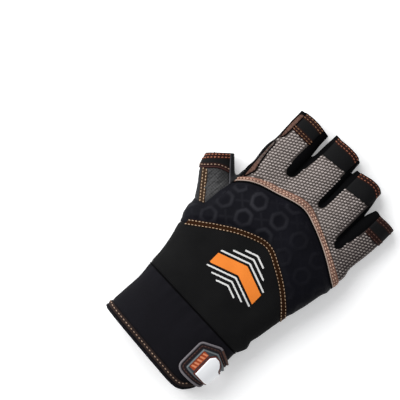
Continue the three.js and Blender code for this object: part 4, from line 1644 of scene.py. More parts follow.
@dataclass
class Wrist(Assembly):
    """The neoprene cuff and the woven tape round its hem."""

    hem_proud: float = 0.6
    hem_row: float = 4.3
    hem_pucker: float = 0.14
    # Gathers below the wrist seam: their spacing, depth and length, and how uneven they are
    gather_wave: float = 9.0
    gather_depth: float = 0.22
    gather_length: float = 6
    gather_uneven: float = 1.5
    seam_thread: float = 0.55

    def _gathers(self, part: Skin, reach: Array) -> Array:
        """Small gathers that run from the wrist seam down the cuff.

        Args:
            part: The cuff's sheet.
            reach: How far each vertex is inside the seams.

        Returns:
            The height of each vertex.
        """
        down = -above_by(part.plan, CUFF_SEAM)
        uneven = self.gather_uneven * ripple(part.points, 30, 5)
        wave = np.sin(TURN * part.cloth[:, 0] / self.gather_wave + uneven)
        fading = np.exp(-down / self.gather_length)
        return self.gather_depth * wave * fading * ease(reach, 0, 1.5)

    def pieces(self) -> list[Panel]:
        """The cuff, its hem tape and the margin outside the tape."""
        rising = puckers(self.hem_pucker)
        return [
            Panel("cuff", CUFF, "cuff_neoprene", [above(HEM_SEAM), below(CUFF_SEAM)],
                  relief=self._gathers),
            Tape("hem_binding", BINDING, "binding_tape", [above(HEM_TAPE), below(HEM_SEAM)],
                 self.hem_proud, 1.4, relief=rising),
            Tape("hem_margin", CUFF, "cuff_neoprene", [above(HEM_EDGE), below(HEM_TAPE)],
                 self.hem_proud, 1.0, relief=rising, nodes=("hem_binding",)),
        ]

    def sew(self) -> None:
        """Sew the hem's row of stitches and the thread of the wrist seam."""
        row = self.panels["hem_binding"].row(offset_from(HEM_EDGE, self.hem_row))
        Stitching(TAN_THREAD, 2.8, 1.7, 0.8).sew("hem", "binding_tape", row)
        seam = self.panels["cuff"].row(offset_from(CUFF_SEAM, -0.35))
        Cord(BLACK_THREAD, self.seam_thread).lay("cuff_seam_thread", "cuff_neoprene", seam)


@dataclass
class BackOfHand(Assembly):
    """The knit back panel with its printed badge, and the embossed knuckle pad."""

    pad_proud: float = 1.55
    pad_edge_proud: float = 0.25
    pad_fill: float = 0.6
    # Hexagon rings: their spacing and first middle, radius, breadth, height and squareness
    ring_pitch: tuple[float, float] = (19.6, 15.8)
    ring_start: tuple[float, float] = (5.3, 38.2)
    ring_middle: float = 5.3
    ring_band: float = 1.4
    ring_rise: float = 0.42
    ring_square: float = 0.6
    # Faint ribs between the rings
    rib_width: float = 0.9
    rib_rise: float = 0.08
    # Over which stretch of x the rings grow shallower, and over which their grey, partly painted
    # highlight, fades as painted shade
    shallow: tuple[float, float] = (0, 24)
    ring_highlight_fade: tuple[float, float] = (-12, 28)
    # The badge of nested chevrons: its middle, half width, slope, and the thickness of its lines
    badge: tuple[float, float] = (11.5, -16.0)
    badge_half: float = 21.0
    badge_slope: float = 0.36
    badge_thick: float = 9.0
    badge_line: float = 1.3
    # The level of each thin chevron, and how much narrower it is than the thick one
    badge_thin: tuple[tuple[float, float], ...] = (
        (10.8, 0), (14.6, 6), (18.4, 12), (-3.1, 0), (-6.9, 6), (-10.7, 12))
    seam_half: float = 2.1
    seam_rows: tuple[float, float] = (1.4, -1.5)

    # The pad's edge at the thumb, and the stretch of the seam that its cover keeps to
    THUMB_EDGE = [(-36.9, 37), (-39.6, 25), (-41, 10.5), (-60, 4)]
    TOP = np.array([(-40.3, -70), (80, -70), (80, 70), (-40.3, 70)])

    def _rings(self, part: Skin) -> tuple[Array, Array]:
        """The pad's pattern.

        Args:
            part: The pad's sheet.

        Returns:
            How much each point is on a ring, and on a faint rib between rings, from 0 to 1.
        """
        wide, high = self.ring_pitch
        x, y = ((part.cloth - self.ring_start) / self.ring_pitch).T
        dx, dy = np.abs(x - np.round(x)) * wide, np.abs(y - np.round(y)) * high
        hexagon = np.maximum(dy, dy / 2 + dx * math.sqrt(3) / 2)
        size = self.ring_square * hexagon + (1 - self.ring_square) * np.hypot(dx, dy)
        band = bell(size - self.ring_middle, self.ring_band, 3)
        rib = np.abs(dx * high - dy * wide) / math.hypot(wide, high)
        outer = ease(size, self.ring_middle + 1.4, self.ring_middle + 2.6)
        upward = ease(part.normals[:, 2], 0.3, 0.65)
        return band * upward, bell(rib, self.rib_width) * outer * upward

    def _emboss(self, part: Skin, reach: Array) -> Array:
        """The pad's filling, its rows of hexagon rings and the faint ribs between them.

        Args:
            part: The pad's sheet.
            reach: How far each vertex is inside the seams.

        Returns:
            The height of each vertex.
        """
        band, ribs = self._rings(part)
        filled = (self.pad_proud - self.pad_edge_proud) * ease(reach, 1.6, 6.5)
        faded = 1 - 0.35 * ease(part.points[:, 0], *self.shallow)
        pattern = self.ring_rise * band * faded + self.rib_rise * ribs
        return filled + pattern * ease(reach, 2.2, 4.5)

    def _pressed_and_highlit(self, part: Skin, reach: Array) -> Array:
        """Where the embossing has pressed the pad's skin smooth and greyer, partly as painted
        highlight.

        Args:
            part: The pad's sheet.
            reach: How far each vertex is inside the seams.

        Returns:
            How pressed and highlit each vertex is, from 0 to 1.
        """
        band, ribs = self._rings(part)
        uneven = 0.7 + 0.25 * ripple(part.points, 24, 2)
        # Painted shade: the rings' highlight fades towards the little finger side
        lit = uneven * (1 - 0.85 * ease(part.points[:, 0], *self.ring_highlight_fade))
        return np.clip(0.8 * band + 0.25 * ribs, 0, 1) * lit * ease(reach, 1.5, 4)

    def pieces(self) -> list[Panel]:
        """The back panel, the knuckle pad and the thread that covers their seam."""
        outline = np.vstack([BACK_ARC, PAD_ARC[::-1], self.THUMB_EDGE])
        return [
            Panel("back_panel", BACK, "back_knit", [OVER, above(CUFF_SEAM), below(BACK_ARC)]),
            Panel("knuckle_pad", KNUCKLE, "pad_neoprene", [OVER, inside(outline)],
                  self.pad_edge_proud, 0.8, 0.3, fineness=1, relief=self._emboss,
                  wear_and_light=self._pressed_and_highlit, fill=self.pad_fill),
            Overlay("knuckle_arc_cover", BROWN_THREAD, "back_knit",
                    [OVER, inside(self.TOP), *astride(BACK_ARC, self.seam_half)], 0.4, 0.5,
                    low=-0.4, nodes=()),
        ]

    def _chevron(self, low: float, thick: float, narrower: float = 0.0) -> Array:
        """The outline of one chevron that points to the fingers.

        Args:
            low: How far it lies from the badge's middle.
            thick: Its thickness.
            narrower: How much narrower it is than the badge to each side.

        Returns:
            The outline's points.
        """
        x, y = self.badge
        half = self.badge_half - narrower
        tip = y + low + self.badge_half * self.badge_slope
        end = tip - half * self.badge_slope
        return np.array([(x - half, end), (x, tip), (x + half, end), (x + half, end + thick),
                         (x, tip + thick), (x - half, end + thick)])

    def sew(self) -> None:
        """Lay a black cord as painted shadow below the trim's piping, sew the double row of
        stitches along the seam, and print the badge.
        """
        # A black cord along the pad's edge, under the trim's piping: painted shadow
        edge = self.panels["knuckle_pad"].row(offset_from(PAD_ARC, -0.6))
        Cord(BLACK_THREAD, 0.65).lay("pad_edge_shadow_thread", "pad_neoprene", edge)
        lines = [offset_from(BACK_ARC, distance) for distance in self.seam_rows]
        rows = self.panels["knuckle_arc_cover"].rows(lines, 0.4)
        Stitching(GOLD_THREAD, 2.5, 1.75, 0.7).sew("knuckle_arc", "back_knit", rows)
        surface = self.panels["back_panel"].surface
        thick = [self._chevron(0, self.badge_thick)]
        thin = [self._chevron(low, self.badge_line, less) for low, less in self.badge_thin]
        printed("badge_orange", ORANGE_PRINT, "back_knit", surface, thick)
        printed("badge_white", WHITE_PRINT, "back_knit", surface, thin)


@dataclass
class FingerBacks(Assembly):
    """The air mesh over the fingers, its tan tape, the knit between fingers and the end bands."""

    band_proud: float = 0.55
    trim_proud: float = 0.8
    binding_proud: float = 0.9
    edge_proud: float = 0.5
    trim_pucker: float = 0.12
    # The loops stand in a hexagonal lattice, 2.31 mm apart along the finger
    loop_pitch: float = 4.0
    loop_row: float = 1.155
    loop_margin: float = 0.15
    loop_size: tuple[float, float, float] = (2.15, 1.2, 0.8)
    loop_turn: float = 0.84
    # From this much painted shade on, loops of the darker yarn, a painted-shade copy, are mixed in
    shade_from: float = 0.25
    # Rows of stitches: below a band's end, above its foot, and on the trim
    end_rows: tuple[float, float] = (1.1, 3.2)
    trim_rows: tuple[float, float] = (1.9, 3.6)

    # Left and right side of each band, and the level of its foot at each
    BANDS = {
        "index_band": (-34.0, -17.6, 90.4, 90.4), "middle_band": (-6.5, 14.0, 93.0, 95.2),
        "ring_band": (21.8, 42.1, 87.6, 90.1), "pinky_band": (52.7, 80.0, 75.4, 74.8),
    }
    PAST_MOUTHS = 119
    HEM_ROWS = {"index_band": (1.4, 3.3), "pinky_band": (1.3, 3.7)}
    # The thread of each set of stitches, its width, and the bands that it sews
    THREADS = {
        "index_band": (AMBER_THREAD, 0.5, ("index_band",)),
        "finger_band": (RUST_THREAD, 0.65, ("middle_band", "ring_band")),
        # The little finger's band has a darker thread than the middle and ring bands: painted shade
        "pinky_band": (DULL_THREAD, 0.65, ("pinky_band",)),
    }
    # The y levels that the mesh lies between
    MESH_Y = (30, 97)

    def _painted_shade(self, points: Array) -> Array:
        """How much painted shade darkens the mesh: 0 beside the trim, where it is left lightest as
        painted light, to 1 at the little finger's end.

        Args:
            points: Places on the mesh.

        Returns:
            One number for each place.
        """
        x, y = points[:, :2].T
        # Painted light beside the trim, painted shade towards the little finger and at the ring
        # finger's end
        off_trim = ease(above_by(points[:, :2], TRIM_ARC), 0.5, 7)
        little_side = ease(x, 26, 58)
        ring_end = ease(x, 18, 24) * (1 - ease(x, 42, 46)) * ease(y, 74, 86)
        shaded = self.shade_from * off_trim + (1 - self.shade_from) * little_side + 0.3 * ring_end
        return np.clip(shaded, 0, 1)

    def _binding_puckers(self, part: Skin, reach: Array) -> Array:
        """The side tape is drawn together by its thread."""
        wave = TURN * part.cloth[:, 1] / 7.5 + 1.2 * ripple(part.points, 25, 3)
        return 0.4 * np.sin(wave) * ease(reach, 0.1, 1.6)

    def _greyed(self, part: Skin, reach: Array) -> Array:
        """The side tape is rubbed grey below the bend of the finger."""
        y = part.plan[:, 1]
        return 0.2 + 0.75 * ease(y, 55, 61) * (1 - ease(y, 77, 79))

    def _foot(self, name: str) -> Array:
        """The seam at the foot of a band, and on to both sides."""
        left, right, at_left, at_right = self.BANDS[name]
        return np.array([(left - 20, at_left), (right + 20, at_right)])

    def _band(self, name: str, outline: Array, mouth: Array, off_binding: Seam) -> Panel:
        """One end band, with its stitched hems.

        Args:
            name: The band.
            outline: Its outline in plan.
            mouth: Where its finger ends.
            off_binding: The seam that keeps it off the side tape.

        Returns:
            The panel.
        """
        rows = self.HEM_ROWS.get(name)

        def hem(part: Skin, reach: Array) -> Array:
            """How much each vertex lies in a hem."""
            end = within(-inside_by(part.plan, mouth), -1, self.end_rows[1] + 1.0)
            foot = within(above_by(part.plan, self._foot(name)), 0.3, rows[1] + 0.9) if rows else 0
            return 0.85 * np.maximum(end, foot)

        return Tape(name, BAND, "band_fabric", [OVER, inside(outline), off_binding],
                    self.band_proud, 1.0, wear_and_light=hem,
                    relief=lambda part, reach: 0.2 * hem(part, reach))

    def pieces(self) -> list[Panel]:
        """Every piece over the fingers.

        Returns:
            The panels, not yet cut.
        """
        off_thumb, off_binding = outside(THUMB_OUTLINE), outside(SIDE_BINDING)
        far, above_trim = self.PAST_MOUTHS, above(TRIM_ARC)
        bands = {name: np.array([(l, a), (r, b), (r, far), (l, far)])
                 for name, (l, r, a, b) in self.BANDS.items()}
        openings = [outside(outline) for outline in (*FOURCHETTES.values(), *bands.values())]
        return [
            Tape("knuckle_trim", TRIM, "trim_tape",
                 [OVER, above(PAD_ARC), below(TRIM_ARC), off_thumb], self.trim_proud, 1.2,
                 relief=puckers(self.trim_pucker)),
            Tape("index_side_binding", SIDE_TAPE, "trim_tape",
                 [OVER, inside(SIDE_BINDING), outside(SIDE_EDGE), above_trim, off_thumb],
                 self.binding_proud, 1.4, relief=self._binding_puckers, wear_and_light=self._greyed),
            Tape("index_side_edge", SIDE, "side_knit", [OVER, inside(SIDE_EDGE), off_thumb],
                 self.edge_proud, 1.0, nodes=("index_side_binding",)),
            Panel("finger_mesh", MESH, "spacer_mesh",
                  [OVER, above_trim, off_thumb, off_binding, *openings],
                  wear_and_light=lambda part, reach: self._painted_shade(part.points)),
            *[Panel(name, SIDE, "side_knit", [OVER, inside(outline)], dip=0.3)
              for name, outline in FOURCHETTES.items()],
            *[self._band(name, outline, mouth, off_binding)
              for (name, outline), mouth in zip(bands.items(), MOUTHS)],
        ]

    def _loops(self) -> Array:
        """Where the yarn loops of the mesh lie, in staggered rows.

        Returns:
            Places and normals.
        """
        mesh, out = self.panels["finger_mesh"], []
        reach = mesh.reach(mesh.surface.points) - self.loop_margin
        for k, y in enumerate(np.arange(*self.MESH_Y, self.loop_row)):
            lines = mesh.surface.lines(mesh.surface.points[:, 1] - y, reach, 2.0)
            if lines:
                out.append(lattice(lines, self.loop_pitch, self.loop_pitch / 2 * (k % 2)))
        return np.vstack(out)

    def _sew_mesh(self) -> None:
        """Lay the mesh's loops, of two yarns mixed by how much painted shade the mesh carries."""
        points = self._loops()
        share = (self._painted_shade(points) - self.shade_from) / (1 - self.shade_from)
        # Loops in painted shade take the darker copy of the yarn
        shaded = np.random.default_rng(SEED).random(len(points)) < share
        for name, finish, rows in (("finger_mesh_loops", MESH_LOOP, points[~shaded]),
                                   ("finger_mesh_shaded_loops", SHADED_LOOP, points[shaded])):
            Repeat(finish, self.loop_size, turn=self.loop_turn).lay(name, "spacer_mesh", [rows])

    def _sew_bands(self) -> None:
        """Sew the hems of the end bands."""
        rows = {}
        for name, mouth in zip(self.BANDS, MOUTHS):
            lines = [inset_from(mouth, -distance) for distance in self.end_rows]
            lines += [offset_from(self._foot(name), up) for up in self.HEM_ROWS.get(name, ())]
            rows[name] = self.panels[name].rows(lines, 0.6)
        for name, (finish, width, bands) in self.THREADS.items():
            Stitching(finish, 2.45, 1.85, width).sew(
                name, "band_fabric", [row for band in bands for row in rows[band]])

    def sew(self) -> None:
        """Lay the mesh's loops, the piping, the edge threads and the stitches."""
        trim, binding = self.panels["knuckle_trim"], self.panels["index_side_binding"]
        self._sew_mesh()
        piping = trim.row(offset_from(PAD_ARC, 0.55))
        Cord(PALE_PIPING, 0.42).lay("knuckle_piping", "trim_tape", piping)
        rows = trim.rows([offset_from(PAD_ARC, distance) for distance in self.trim_rows], 0.4)
        Stitching(PEACH_THREAD, 2.5, 1.9, 0.8, DULL_THREAD).sew("knuckle_trim", "trim_tape", rows)
        sides = [*binding.row(binding.inset(0.35)), *trim.row(offset_from(PAD_ARC, -0.05))]
        Cord(BLACK_THREAD, 0.45).lay("tape_edge_threads", "trim_tape", sides)
        self._sew_bands()
        row = binding.row(binding.inset(1.2))
        Stitching(DULL_THREAD, 2.6, 1.7, 0.6).sew("side_binding", "trim_tape", row)


@dataclass
class ThumbBack(Assembly):
    """The thumb's leather back, the knit strip down its inner side and its end band."""

    band_proud: float = 0.6
    strip_proud: float = 0.7
    cover_proud: float = 0.35
    # Half the distance of the two rows of stitches down the thumb, and what is covered past them
    column_half: float = 1.15
    column_past: float = 1.0
    # Rows of stitches on the band: below its end, and above its foot with an edge thread
    end_rows: tuple[float, float] = (1.1, 3.1)
    foot_row: float = 2.4
    foot_edge: float = 0.7

    COLUMN = np.array([(-66.0, 38.2), (-59.5, 30.2), (-42.6, 9.4), (-40.5, 6.8)])
    COLUMN_END = np.array([(-80, 27.2), (-56.7, 28.2), (-36, 34.8), (-36, 11.6), (-43.8, 7.6),
                           (-60, 0)])

    def _hem(self, part: Skin, reach: Array) -> Array:
        """How much each vertex lies in the end band's stitched hems.

        Args:
            part: The band's sheet.
            reach: How far each vertex is inside the seams.

        Returns:
            One number for each vertex, from 0 to 1.
        """
        end = within(-inside_by(part.plan, THUMB_MOUTH), -1, 4.1)
        foot = within(inside_by(part.plan, THUMB_BAND_OUTLINE), -1, 3.4)
        return np.maximum(end, 0.7 * foot)

    def _creases(self, part: Skin, reach: Array) -> Array:
        """The leather's small creases, where the thumb bends."""
        creased = 0.2 * ripple(part.points, 3.2, 9) + 0.2 * ripple(part.points, 9, 12)
        return creased * ease(reach, 0.4, 2.5)

    def pieces(self) -> list[Panel]:
        """The leather back, the band, the knit at both sides, and the cover of the back's seam.

        Returns:
            The panels, not yet cut.
        """
        thumb, off_strip = [OVER, inside(THUMB_OUTLINE)], below(THUMB_STRIP)
        off_band = outside(THUMB_BAND_OUTLINE)
        column = astride(self.COLUMN, self.column_half + self.column_past)
        return [
            Panel("thumb_back", THUMB_SKIN, "thumb_leather",
                  [*thumb, off_strip, off_band, above(THUMB_SIDE)], fineness=1,
                  relief=self._creases),
            Tape("thumb_band", BAND, "band_fabric", [*thumb, off_strip, inside(THUMB_BAND_OUTLINE)],
                 self.band_proud, 1.0, wear_and_light=self._hem),
            Panel("thumb_outer_side", STRIP, "thumb_leather", [*thumb, off_band, below(THUMB_SIDE)],
                  fineness=1, nodes=("thumb_back",)),
            Tape("thumb_side_strip", STRIP, "side_knit", [*thumb, above(THUMB_STRIP)],
                 self.strip_proud, 1.2, nodes=("thumb_back", "thumb_band")),
            Overlay("thumb_seam_cover", OCHRE_THREAD, "thumb_leather",
                    [*thumb, inside(self.COLUMN_END), off_band, *column], self.cover_proud, 0.5,
                    low=-0.4, nodes=()),
        ]

    def sew(self) -> None:
        """Sew the stitches of the band and of the seam down the thumb, and lay a grey cord as a
        painted highlight along the strip's fold.
        """
        band, cover, strip = (self.panels[f"thumb_{name}"]
                              for name in ("band", "seam_cover", "side_strip"))
        rows = band.rows([inset_from(THUMB_MOUTH, -distance) for distance in self.end_rows], 0.5)
        Stitching(RUST_THREAD, 2.4, 1.8, 0.9).sew("thumb_end", "band_fabric", rows)
        rows = band.rows([inset_from(THUMB_BAND_OUTLINE, self.foot_row)], 0.5)
        Stitching(TAN_THREAD, 2.4, 1.7, 0.8).sew("thumb_band", "band_fabric", rows)
        edge = band.rows([inset_from(THUMB_BAND_OUTLINE, self.foot_edge)], 0.5)
        Cord(RED_THREAD, 0.45).lay("thumb_band_edge_thread", "band_fabric", edge)
        column = [offset_from(self.COLUMN, way * self.column_half) for way in (-1, 1)]
        Stitching(GOLD_THREAD, 2.15, 1.6, 0.85).sew("thumb_seam", "thumb_leather",
                                                    cover.rows(column, 0.3))
        # A grey cord along the strip's fold: a painted highlight
        fold = strip.rows([offset_from(THUMB_STRIP, 0.35)], -0.1)
        Cord(FOLD_HIGHLIGHT, 0.4).lay("thumb_strip_fold_highlight", "side_knit", fold)


@dataclass
class PalmSide(Assembly):
    """The leather palm with its gusset and its three padded cushions."""

    # The flange round each pad: its width, height, and the depth of the seam along its middle
    flange: float = 4.0
    flange_rise: float = 0.5
    flange_seam: float = 0.35
    pad_thickness: float = 4.1
    pad_edge: float = 4.5
    pad_base: float = 0.3
    pad_fill: float = 0.7
    # The flex groove: its depth and width, and how far its stitches lie from its middle
    groove_depth: float = 0.9
    groove_width: float = 1.1
    groove_row: float = 1.6
    # How far the stitches of one flange stay from the next pad
    clearance: float = 2.8
    gusset_row: float = 1.2

    HEEL = rounded([(-19, 28, 8), (46.5, 5.4, 12), (48.6, -18, 16), (36, -39, 12), (-22, -26, 12),
                    (-27, -6, 20)])
    UPPER = rounded([(-34.2, 90, 6), (-21.5, 88, 6), (-13, 63.6, 8), (53, 52.5, 8), (57, 20, 10),
                     (34, 21.4, 20), (-31.5, 39, 9), (-34.4, 58, 20)])
    THUMB = rounded([(-43.9, 40.1, 6), (-54.5, 29.5, 6), (-36.9, 11.9, 6), (-26.3, 22.5, 6)])
    PADS = {"heel_pad": HEEL, "upper_palm_pad": UPPER, "thumb_pad": THUMB}
    GROOVE = spline([(-35, 36.2), (-31, 35), (0, 26.5), (34, 17), (60, 8)])
    GROOVE_START = -33.5

    def _off_pads(self, plan: Array, but: str = "") -> Array:
        """How far each plan point is outside the nearest pad, one of them left out if named."""
        return np.min([-inside_by(plan, pad) for name, pad in self.PADS.items() if name != but], 0)

    def _leather_relief(self, part: Skin, reach: Array) -> Array:
        """The stitched flange round each pad, and the flex groove between the two large ones.

        Args:
            part: The leather's sheet.
            reach: How far each vertex is inside the seams.

        Returns:
            The height of each vertex.
        """
        out = self._off_pads(part.plan)
        falling = 1 - ease(out, self.flange - 0.6, self.flange + 0.2)
        flange = self.flange_rise * ease(out, 0.2, 0.9) * falling
        seam = self.flange_seam * bell(out - self.flange / 2, 0.5) * (out > 0)
        away = distance_to_path(part.plan, self.GROOVE)
        groove = self.groove_depth * bell(away, self.groove_width)
        return (flange - seam - groove) * ease(reach, 0.5, 2.5)

    def _cushion(self, part: Skin, reach: Array) -> Array:
        """A filled cushion: steep at its seam, then softly crowned."""
        crown = (self.pad_thickness - self.pad_base) * rise(reach, self.pad_edge)
        return crown + 0.25 * ripple(part.points, 16, 8) * ease(reach, 1, 5)

    def pieces(self) -> list[Panel]:
        """The leather, the gusset and the pads."""
        palm = [UNDER, above(CUFF_SEAM)]
        return [
            Panel("palm_leather", PALM_SKIN, "palm_leather", [*palm, outside(GUSSET_OUTLINE)],
                  relief=self._leather_relief),
            Panel("thumb_gusset", SIDE, "side_knit", [*palm, inside(GUSSET_OUTLINE)]),
            *[Panel(name, PAD_SKIN, "pad_leather", [UNDER, inside(outline)], dip=0.0, low=0.15,
                    relief=self._cushion, fill=self.pad_fill)
              for name, outline in self.PADS.items()],
        ]

    def sew(self) -> None:
        """Sew the dark stitches round the pads, along the groove and round the gusset."""
        leather, gusset = self.panels["palm_leather"], self.panels["thumb_gusset"]
        rows = []
        for name, pad in self.PADS.items():
            rows += leather.row(
                inset_from(pad, -self.flange / 2),
                lambda points: self._off_pads(points[:, :2], name) - self.clearance)
        for beside in (self.groove_row, -self.groove_row):
            rows += leather.row(offset_from(self.GROOVE, beside),
                                lambda points: points[:, 0] - self.GROOVE_START)
        stitching = Stitching(BLACK_THREAD)
        stitching.sew("palm", "palm_leather", rows)
        rows = gusset.row(inset_from(GUSSET_OUTLINE, self.gusset_row))
        stitching.sew("gusset", "side_knit", rows)


@dataclass
class Closure(Assembly):
    """The strap round the wrist with its edge tape, moulded tab and white patch."""

    # Levels above the skin
    strap_low: float = 0.6
    strap_top: float = 2.1
    tab_low: float = 2.3
    tab_top: float = 3.0
    patch_top: float = 4.3
    # The edge tape's width and place, and how far in the stitches, the tab and the film lie
    tape: float = 1.6
    tape_at: float = 0.9
    stitch_at: float = 3.2
    tab_at: float = 4.8
    patch_at: float = 0.9
    # The tab's rim, and how high it, the ridges and the rings stand
    rim: float = 1.5
    rim_rise: float = 0.75
    ridge_rise: float = 0.6
    ring_rise: float = 0.4
    # The level where the outlines turn from the palm side to the back, and over how much
    level: float = 20.0
    blend: float = 6.0

    WRIST_END = -48
    STRAP_UNDER = rounded([(-20, -60, 3), (34, -60, 8), (60, -55, 1), (60, -80.5, 1),
                           (26, -81.5, 3), (18, -86, 4), (-20, -76.5, 4)])
    STRAP_OVER = rounded([(25.3, -58.8, 3), (39.6, -51.6, 2.5), (60, -61.2, 1), (60, -81.0, 1),
                          (41, -84.9, 3), (29.7, -84.9, 5), (25.3, -81.5, 3)])
    PATCH_UNDER = np.array([(33, -77), (38.5, -66.5), (70, -62), (70, -75)])
    PATCH_OVER = np.array([
        (36.3, -79.2), (36.3, -63.2), (39.0, -59.3), (42.8, -59.3), (44.6, -60.6), (46.2, -62.8),
        (46.8, -65.2), (49.2, -67.2), (70, -68.5), (70, -79.2)])
    # The slanted bars beside the patch: left and right x, slant, thickness, and each one's level
    BAR_X = (32.6, 36.0)
    BAR_SLANT = 1.1
    BAR_THICK = 1.3
    BAR_LEVELS = (-76.2, -73.4, -70.6, -67.8, -65.0)
    BAR_PROUD = 0.34
    BAR_GROUND = np.array([(32.0, -77.2), (36.5, -77.2), (36.5, -62.4), (32.0, -62.4)])
    # The corner past which the edge tape is dark
    CORNER = (41, -62)
    # Slanted ridges on the tab's palm side, and the rings beyond them
    RIDGE_PITCH = 4.2
    RIDGE_SLANT = 0.55
    RING_CELL = np.array([5.0, 4.6])
    RING_RADIUS = 1.3
    RING_WIDTH = 0.35

    def _ridges(self, part: Skin, reach: Array) -> Array:
        """The tab's raised rim, and the slanted ridges and the rings on its palm side.

        Args:
            part: The tab's sheet.
            reach: How far each vertex is inside the seams.

        Returns:
            The height of each vertex.
        """
        rim = self.rim_rise * rise(np.minimum(reach, self.rim - reach).clip(0), self.rim / 2)
        x, y = part.plan.T
        low = part.points[:, 2] < self.level
        slant = (x - self.RIDGE_SLANT * (y + 70)) / self.RIDGE_PITCH
        ridges = self.ridge_rise * rise(1 - 2 * np.abs(slant - np.round(slant)), 0.8)
        ridged = np.where(low, ease(x, 14, 16) * (1 - ease(x, 30, 32)), 0)
        cells = part.plan / self.RING_CELL
        cells[:, 0] += 0.5 * (np.round(cells[:, 1]) % 2)
        away = np.hypot(*((cells - np.round(cells)) * self.RING_CELL).T)
        rings = self.ring_rise * bell(away - self.RING_RADIUS, self.RING_WIDTH)
        ringed = np.where(low, 1 - ease(x, 11, 12), 0)
        inner = ease(reach, self.rim, self.rim + 0.8)
        return rim + inner * (ridges * ridged + rings * ringed)

    def _rim_highlight(self, part: Skin, reach: Array) -> Array:
        """The rim's crest is painted lighter, as a highlight."""
        # Painted highlight along the rim's crest
        return ease(reach, 0.1, 0.5) * (1 - ease(reach, self.rim - 0.5, self.rim + 0.1))

    def build(self, skin: Skin) -> None:
        """Cut the panels out of the wrist."""
        super().build(skin.part(skin.points[:, 1] < self.WRIST_END))

    def pieces(self) -> list[Panel]:
        """The strap, the tab and the patch with its edge.

        Returns:
            The panels, not yet cut.
        """
        strap = WrappedSeam(self.STRAP_UNDER, self.STRAP_OVER, self.level, self.blend)
        patch = WrappedSeam(self.PATCH_UNDER, self.PATCH_OVER, self.level, self.blend)
        return [
            Overlay("strap", STRAP, "strap_webbing", [strap], self.strap_top - self.strap_low, 0.8,
                    base=self.strap_low, low=0.3),
            Overlay("strap_tab", RUBBER, "moulded_rubber", [InsetSeam(strap, self.tab_at)],
                    self.tab_top - self.tab_low, 0.7, base=self.tab_low,
                    low=self.strap_top + 0.02, fineness=2, relief=self._ridges,
                    wear_and_light=self._rim_highlight),
            Overlay("reflective_patch", PATCH, "white_patch", [InsetSeam(patch, self.patch_at)],
                    0.4, 0.5, base=self.patch_top - 0.4, low=self.tab_top + 0.3),
            Overlay("patch_edge", PATCH_EDGE, "white_patch", [patch], 0.2, 0.4,
                    base=self.patch_top - 0.5, low=self.tab_top + 0.05, nodes=()),
        ]

    def _light_tape(self, points: Array) -> Array:
        """Where the strap's edge tape is light: -1 past the corner, 1 elsewhere."""
        (x, y), (corner_x, corner_y) = points[:, :2].T, self.CORNER
        dark = (x > corner_x) & (y > corner_y) & (points[:, 2] > self.level)
        return np.where(dark, -1.0, 1.0)

    def sew(self) -> None:
        """Lay the edge tape, the stitches and the print beside the patch."""
        strap, tab = self.panels["strap"], self.panels["strap_tab"].surface
        edge = strap.row(strap.inset(self.tape_at), self._light_tape)
        Cord(PIPING, self.tape / 2, 1.0).lay("strap_edge_tape", "strap_webbing", edge)
        edge = strap.row(strap.inset(self.tape_at), lambda points: -self._light_tape(points))
        Cord(DULL_THREAD, self.tape / 2, 1.0).lay("strap_corner_tape", "strap_webbing", edge)
        row = strap.row(strap.inset(self.stitch_at))
        Stitching(DULL_THREAD, 2.4, 1.7, 0.7, RED_THREAD).sew("strap", "strap_webbing", row)
        left, right = self.BAR_X
        slant, thick = self.BAR_SLANT, self.BAR_THICK
        bars = [np.array([(left, y), (right, y + slant), (right, y + slant + thick),
                          (left, y + thick)]) for y in self.BAR_LEVELS]
        upper = tab.part(tab.points[:, 2] > self.level)
        printed("strap_tab_ground", RED_PRINT, "moulded_rubber", upper, [self.BAR_GROUND])
        printed("strap_tab_bars", PALE_PRINT, "moulded_rubber", upper, bars, self.BAR_PROUD)


@dataclass(frozen=True)
class SoftLight:
    """A round soft light, in metres and watts."""

    name: str
    place: tuple[float, float, float]
    size: float
    power: float

    def build(self) -> None:
        """Hang the light so that it looks at the glove."""
        lamp = bpy.data.lights.new(self.name, "AREA")
        lamp.shape, lamp.size, lamp.energy = "DISK", self.size, self.power
        thing = linked(bpy.data.objects.new(self.name, lamp))
        thing.location = self.place
        way = -thing.location.normalized()
        thing.rotation_euler = way.to_track_quat("-Z", "Y").to_euler()


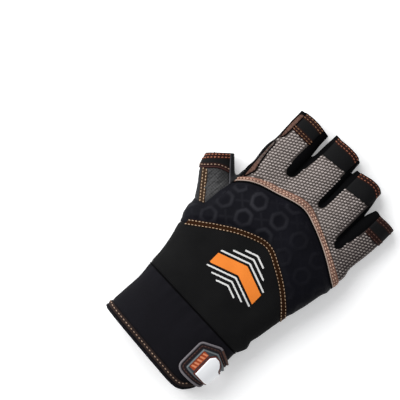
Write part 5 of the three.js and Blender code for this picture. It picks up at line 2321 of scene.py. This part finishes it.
@dataclass
class Studio:
    """The floor, the soft lights and the camera, straight above as the photograph has it."""

    # The camera: what it looks at, how high it hangs over that, what width it sees, and its turn
    middle: tuple[float, float] = (-0.04597, 0.00261)
    middle_level: float = 0.015
    height: float = 4.0
    view: float = 0.280
    turn: float = math.radians(45)
    sensor: float = 36.0
    clip_end: float = 20.0
    # The table is lit a little from below, which keeps the shadow faint
    table_half: float = 3.0
    table_glow: float = 0.25
    sky: str = "#f5f6f8"
    sky_strength: float = 0.5

    LIGHTS = (SoftLight("key_light", (-1.1, 0.12, 0.85), 1.9, 34.0),
              SoftLight("fill_light", (0.5, -0.7, 1.1), 1.0, 1.0))

    def _build_floor(self) -> None:
        """Make the table that the glove lies on."""
        mesh, half = bpy.data.meshes.new("floor"), self.table_half
        corners = [(-half, -half, 0), (half, -half, 0), (half, half, 0), (-half, half, 0)]
        mesh.from_pydata(corners, [], [(0, 1, 2, 3)])
        acrylic = ACRYLIC.material()
        shader = acrylic.node_tree.nodes["Principled BSDF"]
        shader.inputs["Emission Color"].default_value = linear("#ffffff")
        shader.inputs["Emission Strength"].default_value = self.table_glow
        mesh.materials.append(acrylic)
        thing = linked(bpy.data.objects.new("floor", mesh))

    def _build_camera(self) -> None:
        """Hang the camera over the glove."""
        lens = bpy.data.cameras.new("camera")
        lens.sensor_width = self.sensor
        lens.lens = self.sensor * self.height / self.view
        lens.clip_end = self.clip_end
        eye = linked(bpy.data.objects.new("camera", lens))
        eye.location = (*self.middle, self.height + self.middle_level)
        eye.rotation_euler = (0, 0, self.turn)
        bpy.context.scene.camera = eye

    def build(self) -> None:
        """Make the floor, the lights and the camera."""
        self._build_floor()
        for light in self.LIGHTS:
            light.build()
        world = bpy.data.worlds.new("studio")
        world.use_nodes = True
        back = world.node_tree.nodes["Background"]
        back.inputs["Color"].default_value = linear(self.sky)
        back.inputs["Strength"].default_value = self.sky_strength
        bpy.context.scene.world = world
        bpy.context.scene.view_settings.view_transform = "Standard"
        self._build_camera()


def soften(skin: Skin) -> Skin:
    """Give the skin the shallow dents and folds of a glove that lies empty, fewer at the wrist.

    Args:
        skin: The glove's skin.

    Returns:
        The dented skin.
    """
    points = skin.points
    calm = 0.35 + 0.65 * ease(points[:, 1], -60, -40)
    return skin.lifted(calm * (0.3 * ripple(points, 34) + 0.12 * ripple(points, 13, 4)))


def main() -> None:
    """Build the glove, dress it and set up the studio."""
    logging.basicConfig(level=logging.INFO, format="%(message)s")
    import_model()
    skin = HandForm(GRID_PITCH).surface()
    for mouth in MOUTHS:
        skin = skin.cut(-inside_by(skin.plan, mouth))
    skin = soften(skin.cut(above_by(skin.plan, HEM_EDGE)))
    log.info("skin: %d triangles", len(skin.faces))
    for assembly in (Wrist(), BackOfHand(), FingerBacks(), ThumbBack(), PalmSide(), Closure()):
        assembly.build(skin)
        assembly.dress()
        log.info("%s done", type(assembly).__name__)
    Studio().build()


if __name__ == "__main__":
    main()
